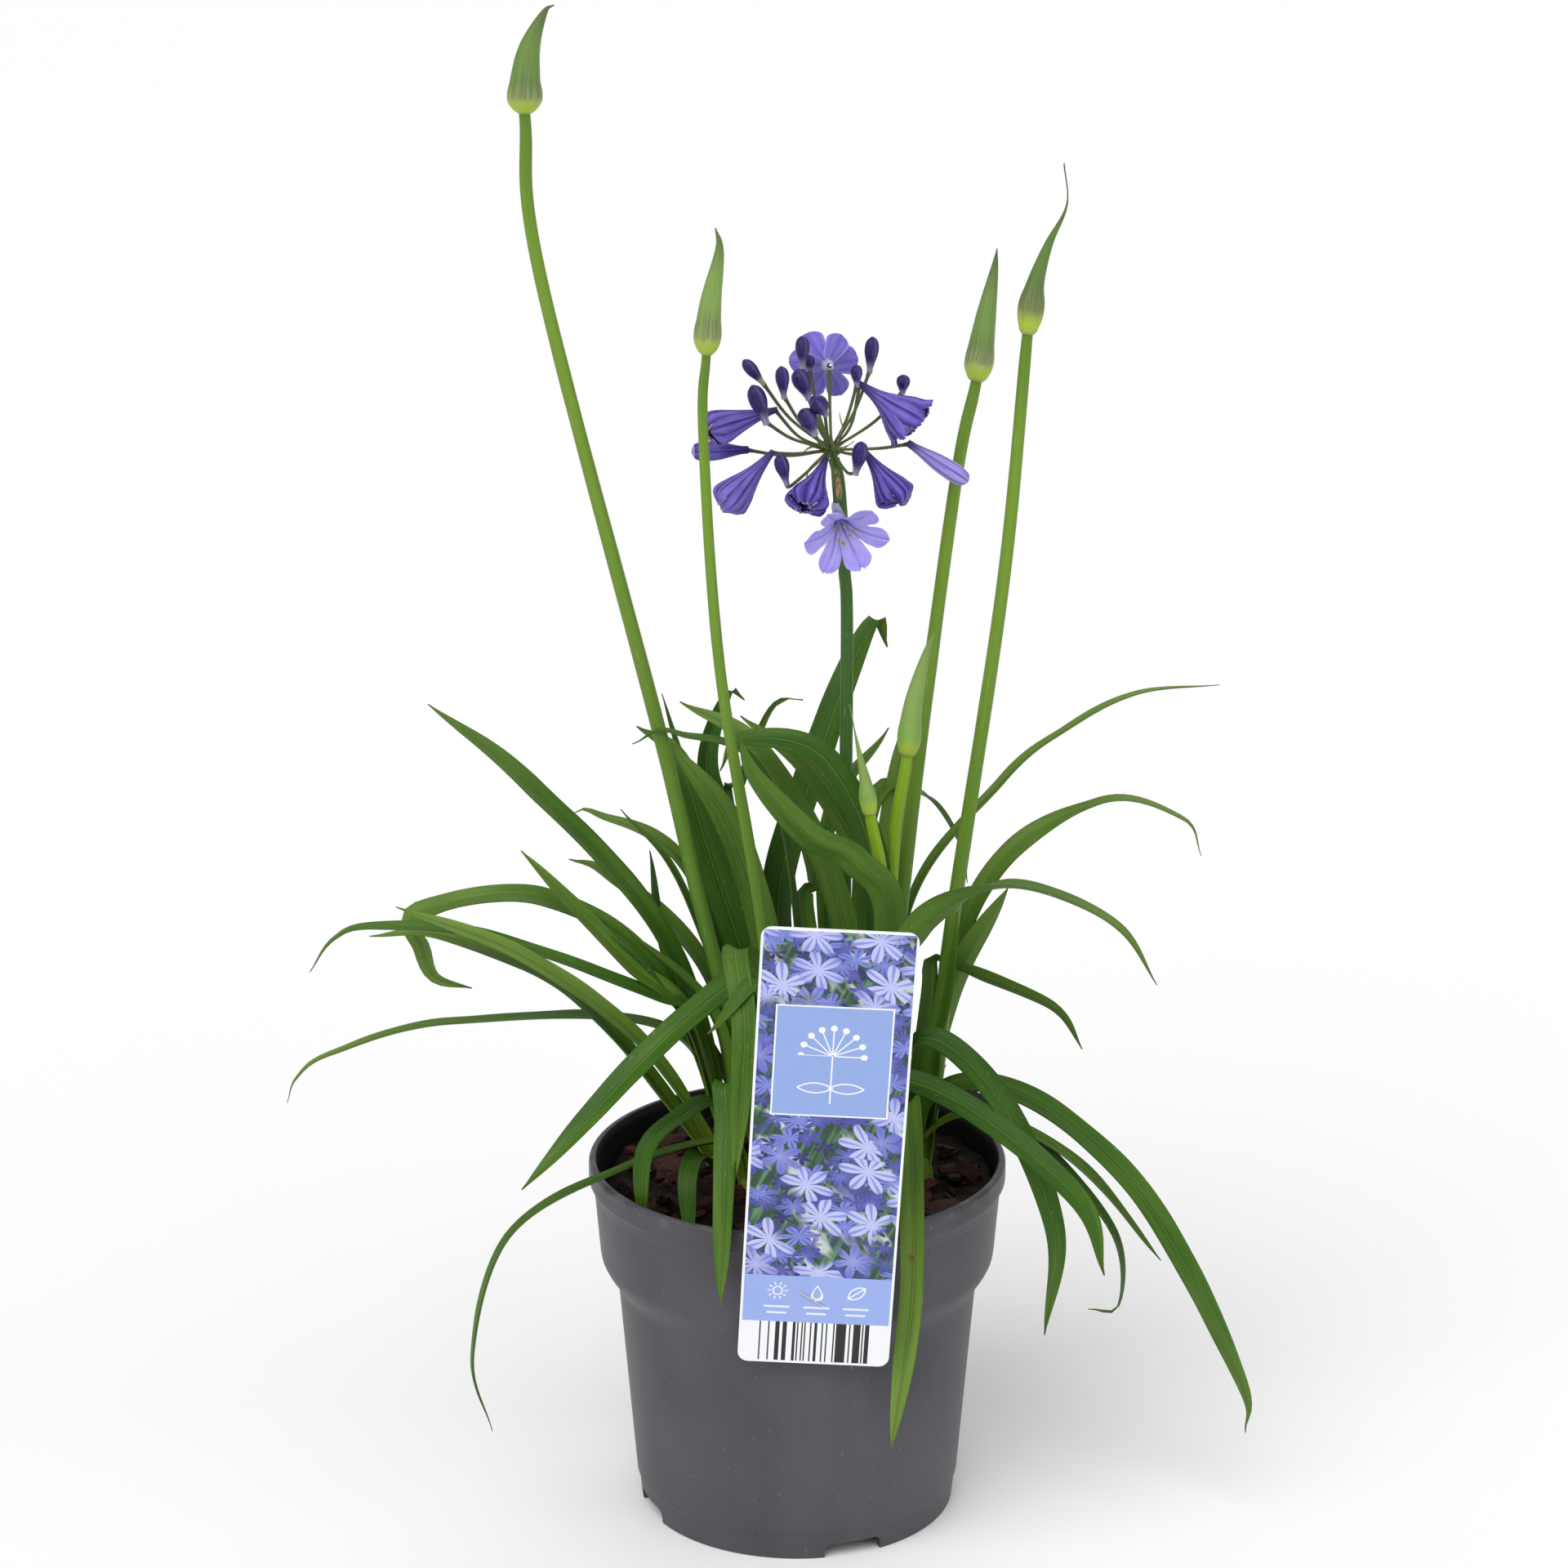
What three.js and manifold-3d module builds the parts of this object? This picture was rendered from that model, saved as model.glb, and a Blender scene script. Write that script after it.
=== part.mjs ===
// Agapanthus (African lily) in a round nursery pot: strap leaves in fans, seven flower scapes,
// one open umbel, bark-topped compost and a plain picture label. Millimetres, +Z up; the origin is
// the middle of the pot's underside, X runs to the right and Y away from the front.
import * as THREE from 'three';
import { mergeVertices } from 'three/addons/utils/BufferGeometryUtils.js';
import Module from 'manifold-3d';

// ---------------------------------------------------------------- driving dimensions, mm

const GAP = 0.3; // clearance between neighbouring pieces
const POT = { rimRadius: 70.4, height: 124, wall: 1.6, footRadius: 53.5, floor: 2.2, sides: 32 };
const COLLAR = {
  topRadius: 68.7,
  bottomRadius: 66.7,
  bottom: 90, // height of its lower edge
  edgeRound: 3,
  tuckRadius: 61.1,
  tuck: 80.5, // height where it tucks in to the tapered wall
  tuckRound: 4,
  lip: 7.5, // height of the thick lip round the rim
  lipWidth: 2.4,
  ease: 1, // how far moulded corners are eased
};
const FOOT = { step: 10, stepOut: 0.6, ring: 3, height: 3, padRadius: 30 };
const NOTCH = { count: 4, width: 20, height: 5, corner: 2.5, depth: 12, firstAngle: -69.4 };
const DRAIN = { count: 6, radius: 4.5, ringRadius: 40, sides: 8 };
const SOIL = { top: 108, holeDepth: 10 };
const HOLE = { sides: 10, tool: 40, margin: 0.4 };
const BARK = {
  count: 22,
  length: 12,
  width: 8,
  thickness: 5,
  smallest: 0.75, // the least size, as a share of the full one
  proud: 0.5, // height of a chip's middle over the compost
  tilt: 0.3, // spread of the tilts, in radians
  reach: 57,
  footClearance: 12,
  seed: 7,
};
const LABEL = { width: 49.3, length: 158.6, thickness: 0.5, corner: 3.5, bottom: 77.3, foot: 4.9, roll: 3 };
const STAPLE = { crown: 10.4, wire: 0.6, angle: -32, centre: [3.2, 102], bite: 0.9 };
const NECK = { bottomRadius: 4.5, topRadius: 3.6, top: 124, sides: 10 };
const LEAF = {
  step: 21.5, // length of blade between two sections
  base: 0.62, // share of the full width at the root
  fullFrom: 0.35, // where along the blade it reaches its full width
  twisting: 0.15, // share of its length in which a twisted blade turns
  taperFrom: 0.5, // where along the blade it starts to narrow
  taperPower: 3.4, // how late it narrows
  tipWidth: 0.9,
  edge: 0.7, // thickness at the margins
  midrib: 1.2, // thickness at the middle
  rootExtra: 1.2, // how much thicker the root is
  dish: 0.1, // how far the margins stand above the middle, as a share of the width
};
const SCAPE = { footRadius: 2.8, topRadius: 1.95, sides: 6, step: 30 };
const SPATHE = { widest: 0.17, roundness: 0.7, tipRadius: 0.35, steps: 9 };
const HEAD = { centre: [11, 24, 361.5], radius: 2.7 };
const PEDICEL = { radius: 0.65, flare: 0.15, sides: 4, step: 10, bendAt: 0.6 };
const BUD = { girth: 2.6, blunt: 0.5, sides: 6, steps: 4 };

// Rings of the open flower, out along the tepals' backs and in again along their faces: how high
// and how far out the tepals are, their half spread in degrees, and where the gaps between them lie.
const OPEN_FLOWER = [
  { height: 0, reach: 0.9, spread: 18, gapHeight: 0, gap: 0.9 },
  { height: 10, reach: 2.4, spread: 18, gapHeight: 10, gap: 2.2 },
  { height: 15.4, reach: 6.2, spread: 26, gapHeight: 12.4, gap: 2.9 },
  { height: 18.6, reach: 10.2, spread: 18, gapHeight: 13.4, gap: 3.4 },
  { height: 19.4, reach: 12.8, spread: 6, gapHeight: 13.8, gap: 3.6 },
  { height: 20.1, reach: 12.6, spread: 6, gapHeight: 14.4, gap: 3.4 },
  { height: 19.3, reach: 10.1, spread: 18, gapHeight: 14.1, gap: 2.9 },
  { height: 16.2, reach: 5.9, spread: 26, gapHeight: 13.2, gap: 2.3 },
  { height: 11.4, reach: 1.6, spread: 18, gapHeight: 11.4, gap: 1.4 },
];
// Rings of the trumpet flower, base to mouth and back down its inside; along is a share of its length.
const TRUMPET = [
  { along: 0, radius: 0.9, lobe: 0 },
  { along: 0.25, radius: 1.5, lobe: 0 },
  { along: 0.5, radius: 2.7, lobe: 0.1 },
  { along: 0.78, radius: 3.9, lobe: 0.5 },
  { along: 0.97, radius: 4.7, lobe: 1.5 },
  { along: 0.93, radius: 3.9, lobe: 1.3 },
  { along: 0.7, radius: 2.6, lobe: 0.2 },
  { along: 0.5, radius: 1.2, lobe: 0 },
];
const TRUMPET_SIDES = 12;
const TRUMPET_FLARE = 0.35; // how far a lobe leans out, as a share of how far it stands up

const UP = new THREE.Vector3(0, 0, 1);
const DEG = Math.PI / 180;

// ---------------------------------------------------------------- the plant's own layout

// Each fan: where its foot stands in the compost, and its leaves. A leaf gives its greatest width,
// the roll of the blade about its midrib in degrees, for some a twist added to the roll from a share
// of its length on, and the places its midrib passes on the way to the tip.
const FANS = {
  fan_left_low: {
    foot: [-27, 6],
    leaves: [
      {
        width: 8.6,
        roll: 20,
        via: [[-28.5, 5, 123.5], [-52, 3, 162.5], [-90.5, -3.2, 195.3], [-132.5, -8, 214.5]],
      },
      {
        width: 8.2,
        roll: 15,
        via: [[-36.5, 7, 130], [-75.5, 11, 177.3], [-118, 13, 197], [-144, 16, 196]],
      },
    ],
  },
  fan_front_left: {
    foot: [-17, -8],
    leaves: [
      { width: 9.8, roll: 16, via: [[-11, -11, 187], [-37, -29, 182.5], [-89, -62, 136.5]] },
      {
        width: 7.4,
        roll: 10,
        via: [[-26, -14, 146], [-39, -28, 148], [-50, -38, 139], [-51, -40, 110.5]],
      },
      {
        width: 6,
        roll: -10,
        via: [
          [-22.5, -12, 133],
          [-58.5, -31, 131],
          [-95, -38, 110.5],
          [-108, -38, 67.5],
          [-102, -38, 39.5],
        ],
      },
      { width: 6.4, roll: 15, via: [[-31, -20, 131], [-36, -36, 131], [-35.2, -45, 110]] },
    ],
  },
  fan_left: {
    foot: [-21, 15],
    leaves: [
      { width: 9.8, roll: 15, via: [[-43, 27, 188], [-90, 38, 242], [-125, 45, 269]] },
      { width: 8.5, roll: 25, via: [[-37, 16, 166.5], [-57.5, 15, 187.5], [-92.5, 14, 227]] },
      {
        width: 7,
        roll: 10,
        via: [
          [-35, 12, 167],
          [-48, 10, 177],
          [-103, 4, 200],
          [-141, 1, 204.5],
          [-154, -2, 201],
          [-162, -3, 190],
        ],
      },
      {
        width: 7.1,
        roll: 0,
        via: [[-42, 19, 160.5], [-116, 17, 165], [-157, 12, 155.5], [-169.5, 11, 147], [-173, 11, 138]],
      },
      { width: 7.5, roll: -40, via: [[-27, 16, 165.5], [-57, 16, 198]] },
      {
        width: 9.4,
        roll: 20,
        twist: 55,
        twistAt: 0.76,
        via: [
          [-45, 21, 178.5],
          [-86, 22, 207.5],
          [-127.5, 20, 203],
          [-126.5, 19, 191],
          [-122.5, 19, 180.5],
          [-110, 18, 177],
        ],
      },
    ],
  },
  fan_back_left: {
    foot: [-7, 32],
    leaves: [
      { width: 8.5, roll: 10, via: [[-33, 47, 176], [-65, 57, 204], [-79, 60, 209]] },
      { width: 7.5, roll: 10, via: [[-35, 50, 204], [-69, 58, 226], [-78, 60, 225]] },
      { width: 5, roll: 15, via: [[-38, 36, 204], [-60, 38, 234]] },
      { width: 6, roll: 0, via: [[-43, 47, 171], [-51, 58, 213]] },
    ],
  },
  fan_front: {
    foot: [-3, -14],
    leaves: [
      {
        width: 8.5,
        roll: 0,
        via: [[-9.5, -22, 187.5], [-20, -38, 210], [-17, -58, 188.5], [-20.5, -67, 140]],
      },
      {
        width: 7.6,
        roll: 0,
        via: [[-22, -46, 166], [-23, -58, 157], [-24, -71, 128], [-25, -70, 100]],
      },
      { width: 6.5, roll: 20, via: [[-10, -46, 198.5], [-29, -58, 188.5]] },
    ],
  },
  fan_centre: {
    foot: [7, 17],
    leaves: [
      { width: 10.6, roll: 45, via: [[-18, 36, 216], [-42.5, 45, 255.5]] },
      { width: 11, roll: 38, via: [[-28.5, 44, 212], [-41, 55, 247], [-55, 60, 257]] },
      { width: 9, roll: -5, via: [[-20, 49, 210], [-31, 61, 242], [-24, 70, 266], [-18, 72, 263]] },
      { width: 5.5, roll: -20, via: [[-37, 67, 233], [-47, 80, 263]] },
      { width: 6.5, roll: -50, via: [[-23, 48, 228], [-20, 51, 239], [-9, 59, 264], [2, 62, 266]] },
      { width: 5.5, roll: 20, via: [[-7, 19, 242], [-40, 13, 268], [-54.5, 9, 265.5]] },
    ],
  },
  fan_centre_front: {
    foot: [15, -2],
    leaves: [
      {
        width: 10.4,
        roll: -58,
        via: [[30.5, -14, 207], [19, -14, 232], [3.5, -15, 241.5], [-13.5, -18, 262], [-19, -20, 276.5]],
      },
      {
        width: 10,
        roll: 52,
        via: [[27.5, 5, 207], [10.5, 8, 259], [-17.5, 9, 267.5], [-25.5, 10, 256]],
      },
      { width: 8.5, roll: 38, via: [[24, 12, 205.5], [7, 19, 249.5], [-19, 24, 271]] },
      { width: 9.2, roll: 36, via: [[16, 16, 198], [-12, 29, 256], [-39.5, 36, 272.5]] },
    ],
  },
  fan_back: {
    foot: [19, 33],
    leaves: [
      { width: 7.4, roll: 42, via: [[2.5, 38, 195.5], [6, 39, 208.5], [0, 40, 226.5]] },
      {
        width: 12.2,
        roll: 15,
        via: [[-6.5, 59, 184.5], [8.5, 72, 245.5], [26, 85, 287], [31.5, 88, 277.5]],
      },
      { width: 6.5, roll: 8, via: [[10, 53, 216.5], [31.5, 60, 256.5]] },
      { width: 9.6, roll: -25, via: [[34, 62, 231], [40, 70, 261]] },
      {
        width: 6.5,
        roll: -15,
        via: [[24.5, 60, 222], [42.5, 64, 232], [56, 68, 213.5], [59.5, 72, 196.5]],
      },
    ],
  },
  fan_right_back: {
    foot: [37, 26],
    leaves: [
      {
        width: 6.5,
        roll: 5,
        via: [[37.5, 40, 194.5], [70.5, 47, 241.5], [93, 52, 259], [116.5, 57, 269.5], [144.5, 62, 271]],
      },
      {
        width: 8,
        roll: -40,
        twist: 38,
        twistAt: 0.62,
        via: [[61.5, 28, 206.5], [101, 29, 238.9], [130, 30, 233], [136.5, 30, 220]],
      },
      { width: 9.2, roll: 62, via: [[52.5, 24, 174], [71, 22, 211]] },
      {
        width: 7,
        roll: 32,
        twist: 25,
        via: [
          [45, 23, 170.5],
          [46, 21, 186],
          [55, 18, 184],
          [78.5, 12, 176.5],
          [89, 9, 170.5],
          [96, 8, 158.5],
        ],
      },
      { width: 5, roll: -5, via: [[45, 23, 133], [51, 21, 148]] },
    ],
  },
  fan_right_front: {
    foot: [31, -14],
    leaves: [
      {
        width: 10.4,
        roll: 55,
        twist: -50,
        via: [
          [33.5, -26, 195.5],
          [37.5, -29, 212],
          [47.5, -31, 222.5],
          [64, -34, 230.5],
          [82, -38, 229],
          [103, -43, 219],
          [115.5, -45, 200.5],
        ],
      },
      { width: 8.8, roll: -30, via: [[36, -30, 154], [37, -62, 136], [37, -64, 97], [31, -60, 44]] },
      {
        width: 8.5,
        roll: -32,
        via: [[26, -24, 156.5], [51.5, -32, 156], [90.5, -52, 130], [100, -56, 104]],
      },
      {
        width: 8.6,
        roll: -30,
        via: [[38.5, -19, 171], [64.5, -31, 158.5], [84.3, -40, 114.5], [81.8, -42, 76.5]],
      },
    ],
  },
  fan_right_low: {
    foot: [43, -1],
    leaves: [
      {
        width: 9.5,
        roll: -25,
        via: [[46.5, 0, 145.5], [76, -12, 149.5], [115, -27, 119], [148.4, -32, 55.5], [150.8, -32, 36]],
      },
      {
        width: 5.5,
        roll: 5,
        via: [[50, -2, 147], [78, -18, 137], [104.5, -30, 109], [107, -32, 83], [97, -32, 81.5]],
      },
      { width: 5.5, roll: -5, via: [[42, -2, 130], [61, -12, 143], [93, -23, 130], [121, -28, 97]] },
      { width: 7.6, roll: -20, via: [[45.5, 1, 159.5], [49, 2, 179], [53.5, 4, 209]] },
    ],
  },
};

// Each scape: the places its stalk passes from the compost up, for a thin one how slim it is beside
// the others, then its sheathed bud. A bud gives its bulge radius, how fast it thins (1 evenly, 2
// early, leaving a long tail) and its own places.
const SCAPES = {
  scape_tall_left: {
    stalk: [[-5, 22, 108], [-30.3, 18, 197], [-45.5, 15, 267], [-82, 7, 421], [-86, 4, 474]],
    bud: {
      bulge: 5.6,
      thinning: 0.85,
      via: [[-85.5, 3.5, 485], [-83.7, 3, 495], [-79, 2.5, 505.3], [-76, 2.3, 507.4]],
    },
  },
  scape_left: {
    slim: 0.8,
    stalk: [[-2, 6, 108], [-12.1, 1, 206], [-25.3, -4, 295], [-30.2, -8, 374], [-29, -10, 400]],
    bud: { bulge: 4.4, thinning: 0.75, via: [[-27.6, -11, 416], [-24.7, -12, 433], [-25.9, -12, 440]] },
  },
  scape_flowering: {
    stalk: [[15, 23, 108], [16.4, 24, 287], [15.4, 24, 322], [13.8, 24, 349], [11.8, 24, 358.5]],
  },
  scape_young: {
    stalk: [[25, -1, 108], [28.5, -2, 208], [23.8, -2, 245.5]],
    bud: { bulge: 2.9, thinning: 2, via: [[22.2, -2, 256], [19.6, -2, 268.5], [16.9, -2, 282.5]] },
  },
  scape_short: {
    stalk: [[30, 9, 108], [31.4, 11, 217], [36.4, 12, 261.3]],
    bud: { bulge: 4.0, thinning: 0.85, via: [[38, 12, 277], [42.4, 12, 296], [45.8, 12, 304.5]] },
  },
  scape_right: {
    stalk: [[27, 21, 108], [36, 29, 211], [51.7, 39, 342], [59, 42, 381]],
    bud: { bulge: 4.8, thinning: 0.8, via: [[61.3, 43.4, 398.5], [64.4, 45, 417], [65.3, 45.5, 424]] },
  },
  scape_far_right: {
    stalk: [[40, 13, 108], [47, 11, 147], [51.5, 9, 201], [66.5, 3, 320], [73, -1, 405]],
    bud: {
      bulge: 4.2,
      thinning: 2,
      via: [[74.9, -1.7, 420], [79, -2.4, 433.3], [84.5, -3, 446], [83.3, -3.6, 459]],
    },
  },
};

// The umbel's florets, measured from the head's centre: where the pedicel ends, where the flower's
// mouth or the bud's tip lies, for a hooked pedicel the low place it passes, and how much wider than
// usual the flower stands.
const FLORETS = {
  open: [
    { base: [-0.7, 8, 26.2], mouth: [-2.4, 27.7, 23], wide: 0.87 },
    { base: [1.3, -8, -17.1], mouth: [4.9, -25.9, -25.2], hook: [0.5, -7, -7.8], wide: 1.06 },
  ],
  half: [
    { base: [-18.4, -4, 14], mouth: [-39.6, -10, 8.6], hook: [-10.5, -2.4, 4.8], wide: 1.15 },
    { base: [-19.4, -8, 0.7], mouth: [-34.4, -14, -15.6], wide: 1.2 },
    { base: [-2.1, -16, 0.1], mouth: [-8.8, -28, -13.1], wide: 1.5 },
    { base: [11, -14, 2], mouth: [22, -20, -12.6], wide: 1.2 },
    { base: [9.3, 4, 21.1], mouth: [27, 2, 8.4], hook: [6.4, 2.4, 7.6], wide: 1.6 },
  ],
  shut: [
    { base: [-27.9, 2, -0.5], mouth: [-45.6, 0, -0.7], girth: 2.6, hook: [-14, 1, -2.2] },
    { base: [25.7, 6, 0.6], mouth: [45, 4, -11.6], girth: 2.5 },
  ],
  bud: [
    { base: [-9.5, 6, 26.3], mouth: [-9.5, 8, 36.1], girth: 1.9 },
    { base: [-7.1, 14, 23.4], mouth: [-7.2, 15, 28.5], girth: 1.3 },
    { base: [-22.4, -4, 23], mouth: [-28.6, -5, 30.6], girth: 1.6 },
    { base: [-15.5, -10, 19.7], mouth: [-16.4, -11, 29.7], girth: 1.8 },
    { base: [-7.5, -2, 17.8], mouth: [-11.4, -3, 27.1], girth: 2.6 },
    { base: [-2.3, -16, 15.4], mouth: [-5.5, -25, 21.8], girth: 2.5 },
    { base: [-5.7, -20, 9.8], mouth: [-9.5, -22, 18], girth: 2.6 },
    { base: [-21.3, -12, 11.7], mouth: [-25.7, -13, 23.9], girth: 2.5 },
    { base: [-14.7, -22, -6], mouth: [-17.1, -23, 3.3], girth: 1.9, hook: [-13, -16, -8.3] },
    { base: [7.7, -20, -3.2], mouth: [9.6, -21, 7.1], girth: 2.1, hook: [4.9, -13, -4.6] },
    { base: [12.6, 10, 24.2], mouth: [13.5, 10, 35.4], girth: 1.9 },
    { base: [8.2, -2, 22], mouth: [7.9, -2, 28.5], girth: 1.5 },
    { base: [23.5, 14, 16.2], mouth: [23.8, 15, 21.9], girth: 1.8 },
  ],
};

// ---------------------------------------------------------------- solids

const wasm = await Module();
wasm.setup();

/** A closed geometry as a solid that can be joined and cut. */
function toSolid(geometry) {
  const bare = geometry.clone();
  bare.deleteAttribute('normal');
  bare.deleteAttribute('uv');
  const merged = mergeVertices(bare, 1e-4);
  return new wasm.Manifold(new wasm.Mesh({
    numProp: 3,
    vertProperties: new Float32Array(merged.attributes.position.array),
    triVerts: new Uint32Array(merged.index.array),
  }));
}

/** A solid back as a geometry with flat normals. */
function toGeometry(solid) {
  const mesh = solid.getMesh();
  const geometry = new THREE.BufferGeometry();
  geometry.setAttribute('position', new THREE.BufferAttribute(new Float32Array(mesh.vertProperties), 3));
  geometry.setIndex(new THREE.BufferAttribute(new Uint32Array(mesh.triVerts), 1));
  geometry.computeVertexNormals();
  return geometry;
}

/** Several closed geometries joined in one body. */
function fuse(geometries) {
  return toGeometry(geometries.map(toSolid).reduce((whole, piece) => whole.add(piece)));
}

/** A body with the given tools cut out of it. */
function carve(geometry, tools) {
  return toGeometry(tools.map(toSolid).reduce((whole, tool) => whole.subtract(tool), toSolid(geometry)));
}

/** A small seeded random source in 0..1. */
function seeded(seed) {
  let state = seed;
  return () => {
    state = (state * 1664525 + 1013904223) % 4294967296;
    return state / 4294967296;
  };
}

/** A smooth curve through places given as [x, y, z]. */
function curveThrough(places) {
  return new THREE.CatmullRomCurve3(places.map((p) => new THREE.Vector3(...p)), false, 'catmullrom', 0.5);
}

/** A closed body from rings of equal count, each wound the same way about the path. */
function skin(rings) {
  const count = rings[0].length;
  const positions = rings.flat().flatMap((p) => [p.x, p.y, p.z]);
  const index = [];
  for (let i = 0; i + 1 < rings.length; i += 1) {
    for (let j = 0; j < count; j += 1) {
      const a = i * count + j;
      const b = i * count + ((j + 1) % count);
      index.push(a, b, b + count, a, b + count, a + count);
    }
  }
  const last = (rings.length - 1) * count;
  for (let j = 1; j + 1 < count; j += 1) {
    index.push(0, j + 1, j, last, last + j, last + j + 1);
  }
  const geometry = new THREE.BufferGeometry();
  geometry.setAttribute('position', new THREE.Float32BufferAttribute(positions, 3));
  geometry.setIndex(index);
  return geometry;
}

/** A round body along a curve, with its radius a function of the fraction along it. */
function round(curve, radiusAt, sides, steps) {
  const frames = curve.computeFrenetFrames(steps, false);
  const rings = [];
  for (let i = 0; i <= steps; i += 1) {
    const centre = curve.getPointAt(i / steps);
    const radius = radiusAt(i / steps);
    const ring = [];
    for (let j = 0; j < sides; j += 1) {
      const angle = (j / sides) * 2 * Math.PI;
      ring.push(centre.clone()
        .addScaledVector(frames.normals[i], radius * Math.cos(angle))
        .addScaledVector(frames.binormals[i], radius * Math.sin(angle)));
    }
    rings.push(ring);
  }
  return skin(rings);
}

/** A tube with its ends closed through given places. */
function tube(places, startRadius, endRadius, sides, step) {
  const curve = curveThrough(places);
  const steps = Math.max(2, Math.ceil(curve.getLength() / step));
  return round(curve, (t) => THREE.MathUtils.lerp(startRadius, endRadius, t), sides, steps);
}

/**
 * A thin strap along a curve. Each station gives the half width, the thickness and how far the
 * edges stand above the middle; both faces are split into triangles alike.
 */
function strap(curve, side, rollAt, steps, stationAt, across) {
  const positions = [];
  const index = [];
  const columns = across.length;
  for (let i = 0; i <= steps; i += 1) {
    const t = i / steps;
    const centre = curve.getPointAt(t);
    const along = curve.getTangentAt(t);
    const flat = side.clone().addScaledVector(along, -side.dot(along)).normalize();
    const normal = new THREE.Vector3().crossVectors(flat, along);
    const roll = rollAt(t) * DEG;
    const sideways = flat.clone().multiplyScalar(Math.cos(roll)).addScaledVector(normal, Math.sin(roll));
    const outward = new THREE.Vector3().crossVectors(sideways, along);
    const { half, middle, edge, dish } = stationAt(t);
    for (const face of [1, -1]) {
      for (const u of across) {
        const thickness = THREE.MathUtils.lerp(middle, edge, Math.abs(u));
        const height = (face * thickness) / 2 - dish * Math.abs(u); // outward is the under side
        const p = centre.clone().addScaledVector(sideways, u * half).addScaledVector(outward, height);
        positions.push(p.x, p.y, p.z);
      }
    }
  }
  const ring = 2 * columns;
  const quad = (a, b, c, d) => index.push(a, b, c, a, c, d);
  for (let i = 0; i < steps; i += 1) {
    const here = i * ring;
    const next = here + ring;
    for (let k = 0; k + 1 < columns; k += 1) {
      quad(here + k, here + k + 1, next + k + 1, next + k);
      const low = here + columns + k;
      const lowNext = next + columns + k;
      index.push(low, lowNext + 1, low + 1, low, lowNext, lowNext + 1);
    }
    quad(here + columns, here, next, next + columns);
    quad(here + columns - 1, here + ring - 1, next + ring - 1, next + columns - 1);
  }
  for (let k = 0; k + 1 < columns; k += 1) {
    const end = steps * ring;
    quad(k, columns + k, columns + k + 1, k + 1);
    quad(end + k, end + k + 1, end + columns + k + 1, end + columns + k);
  }
  const geometry = new THREE.BufferGeometry();
  geometry.setAttribute('position', new THREE.Float32BufferAttribute(positions, 3));
  geometry.setIndex(index);
  return geometry;
}

// ---------------------------------------------------------------- pot, compost, label

/** The pot's inner wall radius at a height, for the compost to follow. */
function innerRadius(z) {
  const { topRadius, bottomRadius, bottom, tuckRadius, tuck } = COLLAR;
  if (z >= bottom) {
    const rise = (z - bottom) / (POT.height - bottom);
    return THREE.MathUtils.lerp(bottomRadius, topRadius, rise) - POT.wall;
  }
  if (z >= tuck) {
    return THREE.MathUtils.lerp(tuckRadius, bottomRadius, (z - tuck) / (bottom - tuck)) - POT.wall;
  }
  return THREE.MathUtils.lerp(POT.footRadius, tuckRadius, z / tuck) - POT.wall;
}

function lathe(profile, sides) {
  const points = profile.map(([radius, height]) => new THREE.Vector2(radius, height));
  const geometry = new THREE.LatheGeometry(points, sides);
  geometry.rotateX(Math.PI / 2);
  return geometry;
}

/** A notch through the foot ring, with round upper corners. */
function notchTool(angle) {
  const { width, height, corner, depth } = NOTCH;
  const half = width / 2;
  const outline = new THREE.Shape();
  outline.moveTo(-half, -corner);
  outline.lineTo(half, -corner);
  outline.lineTo(half, height - corner);
  outline.absarc(half - corner, height - corner, corner, 0, Math.PI / 2);
  outline.absarc(corner - half, height - corner, corner, Math.PI / 2, Math.PI);
  outline.closePath();
  const tool = new THREE.ExtrudeGeometry(outline, { depth, bevelEnabled: false, curveSegments: 3 });
  tool.rotateX(Math.PI / 2);
  tool.translate(0, depth / 2 - POT.footRadius, 0);
  tool.rotateZ((angle + 90) * DEG);
  return tool;
}

function standing(radius, height, sides, x, y, z) {
  const geometry = new THREE.CylinderGeometry(radius, radius, height, sides);
  geometry.rotateX(Math.PI / 2);
  geometry.translate(x, y, z);
  return geometry;
}

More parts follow.
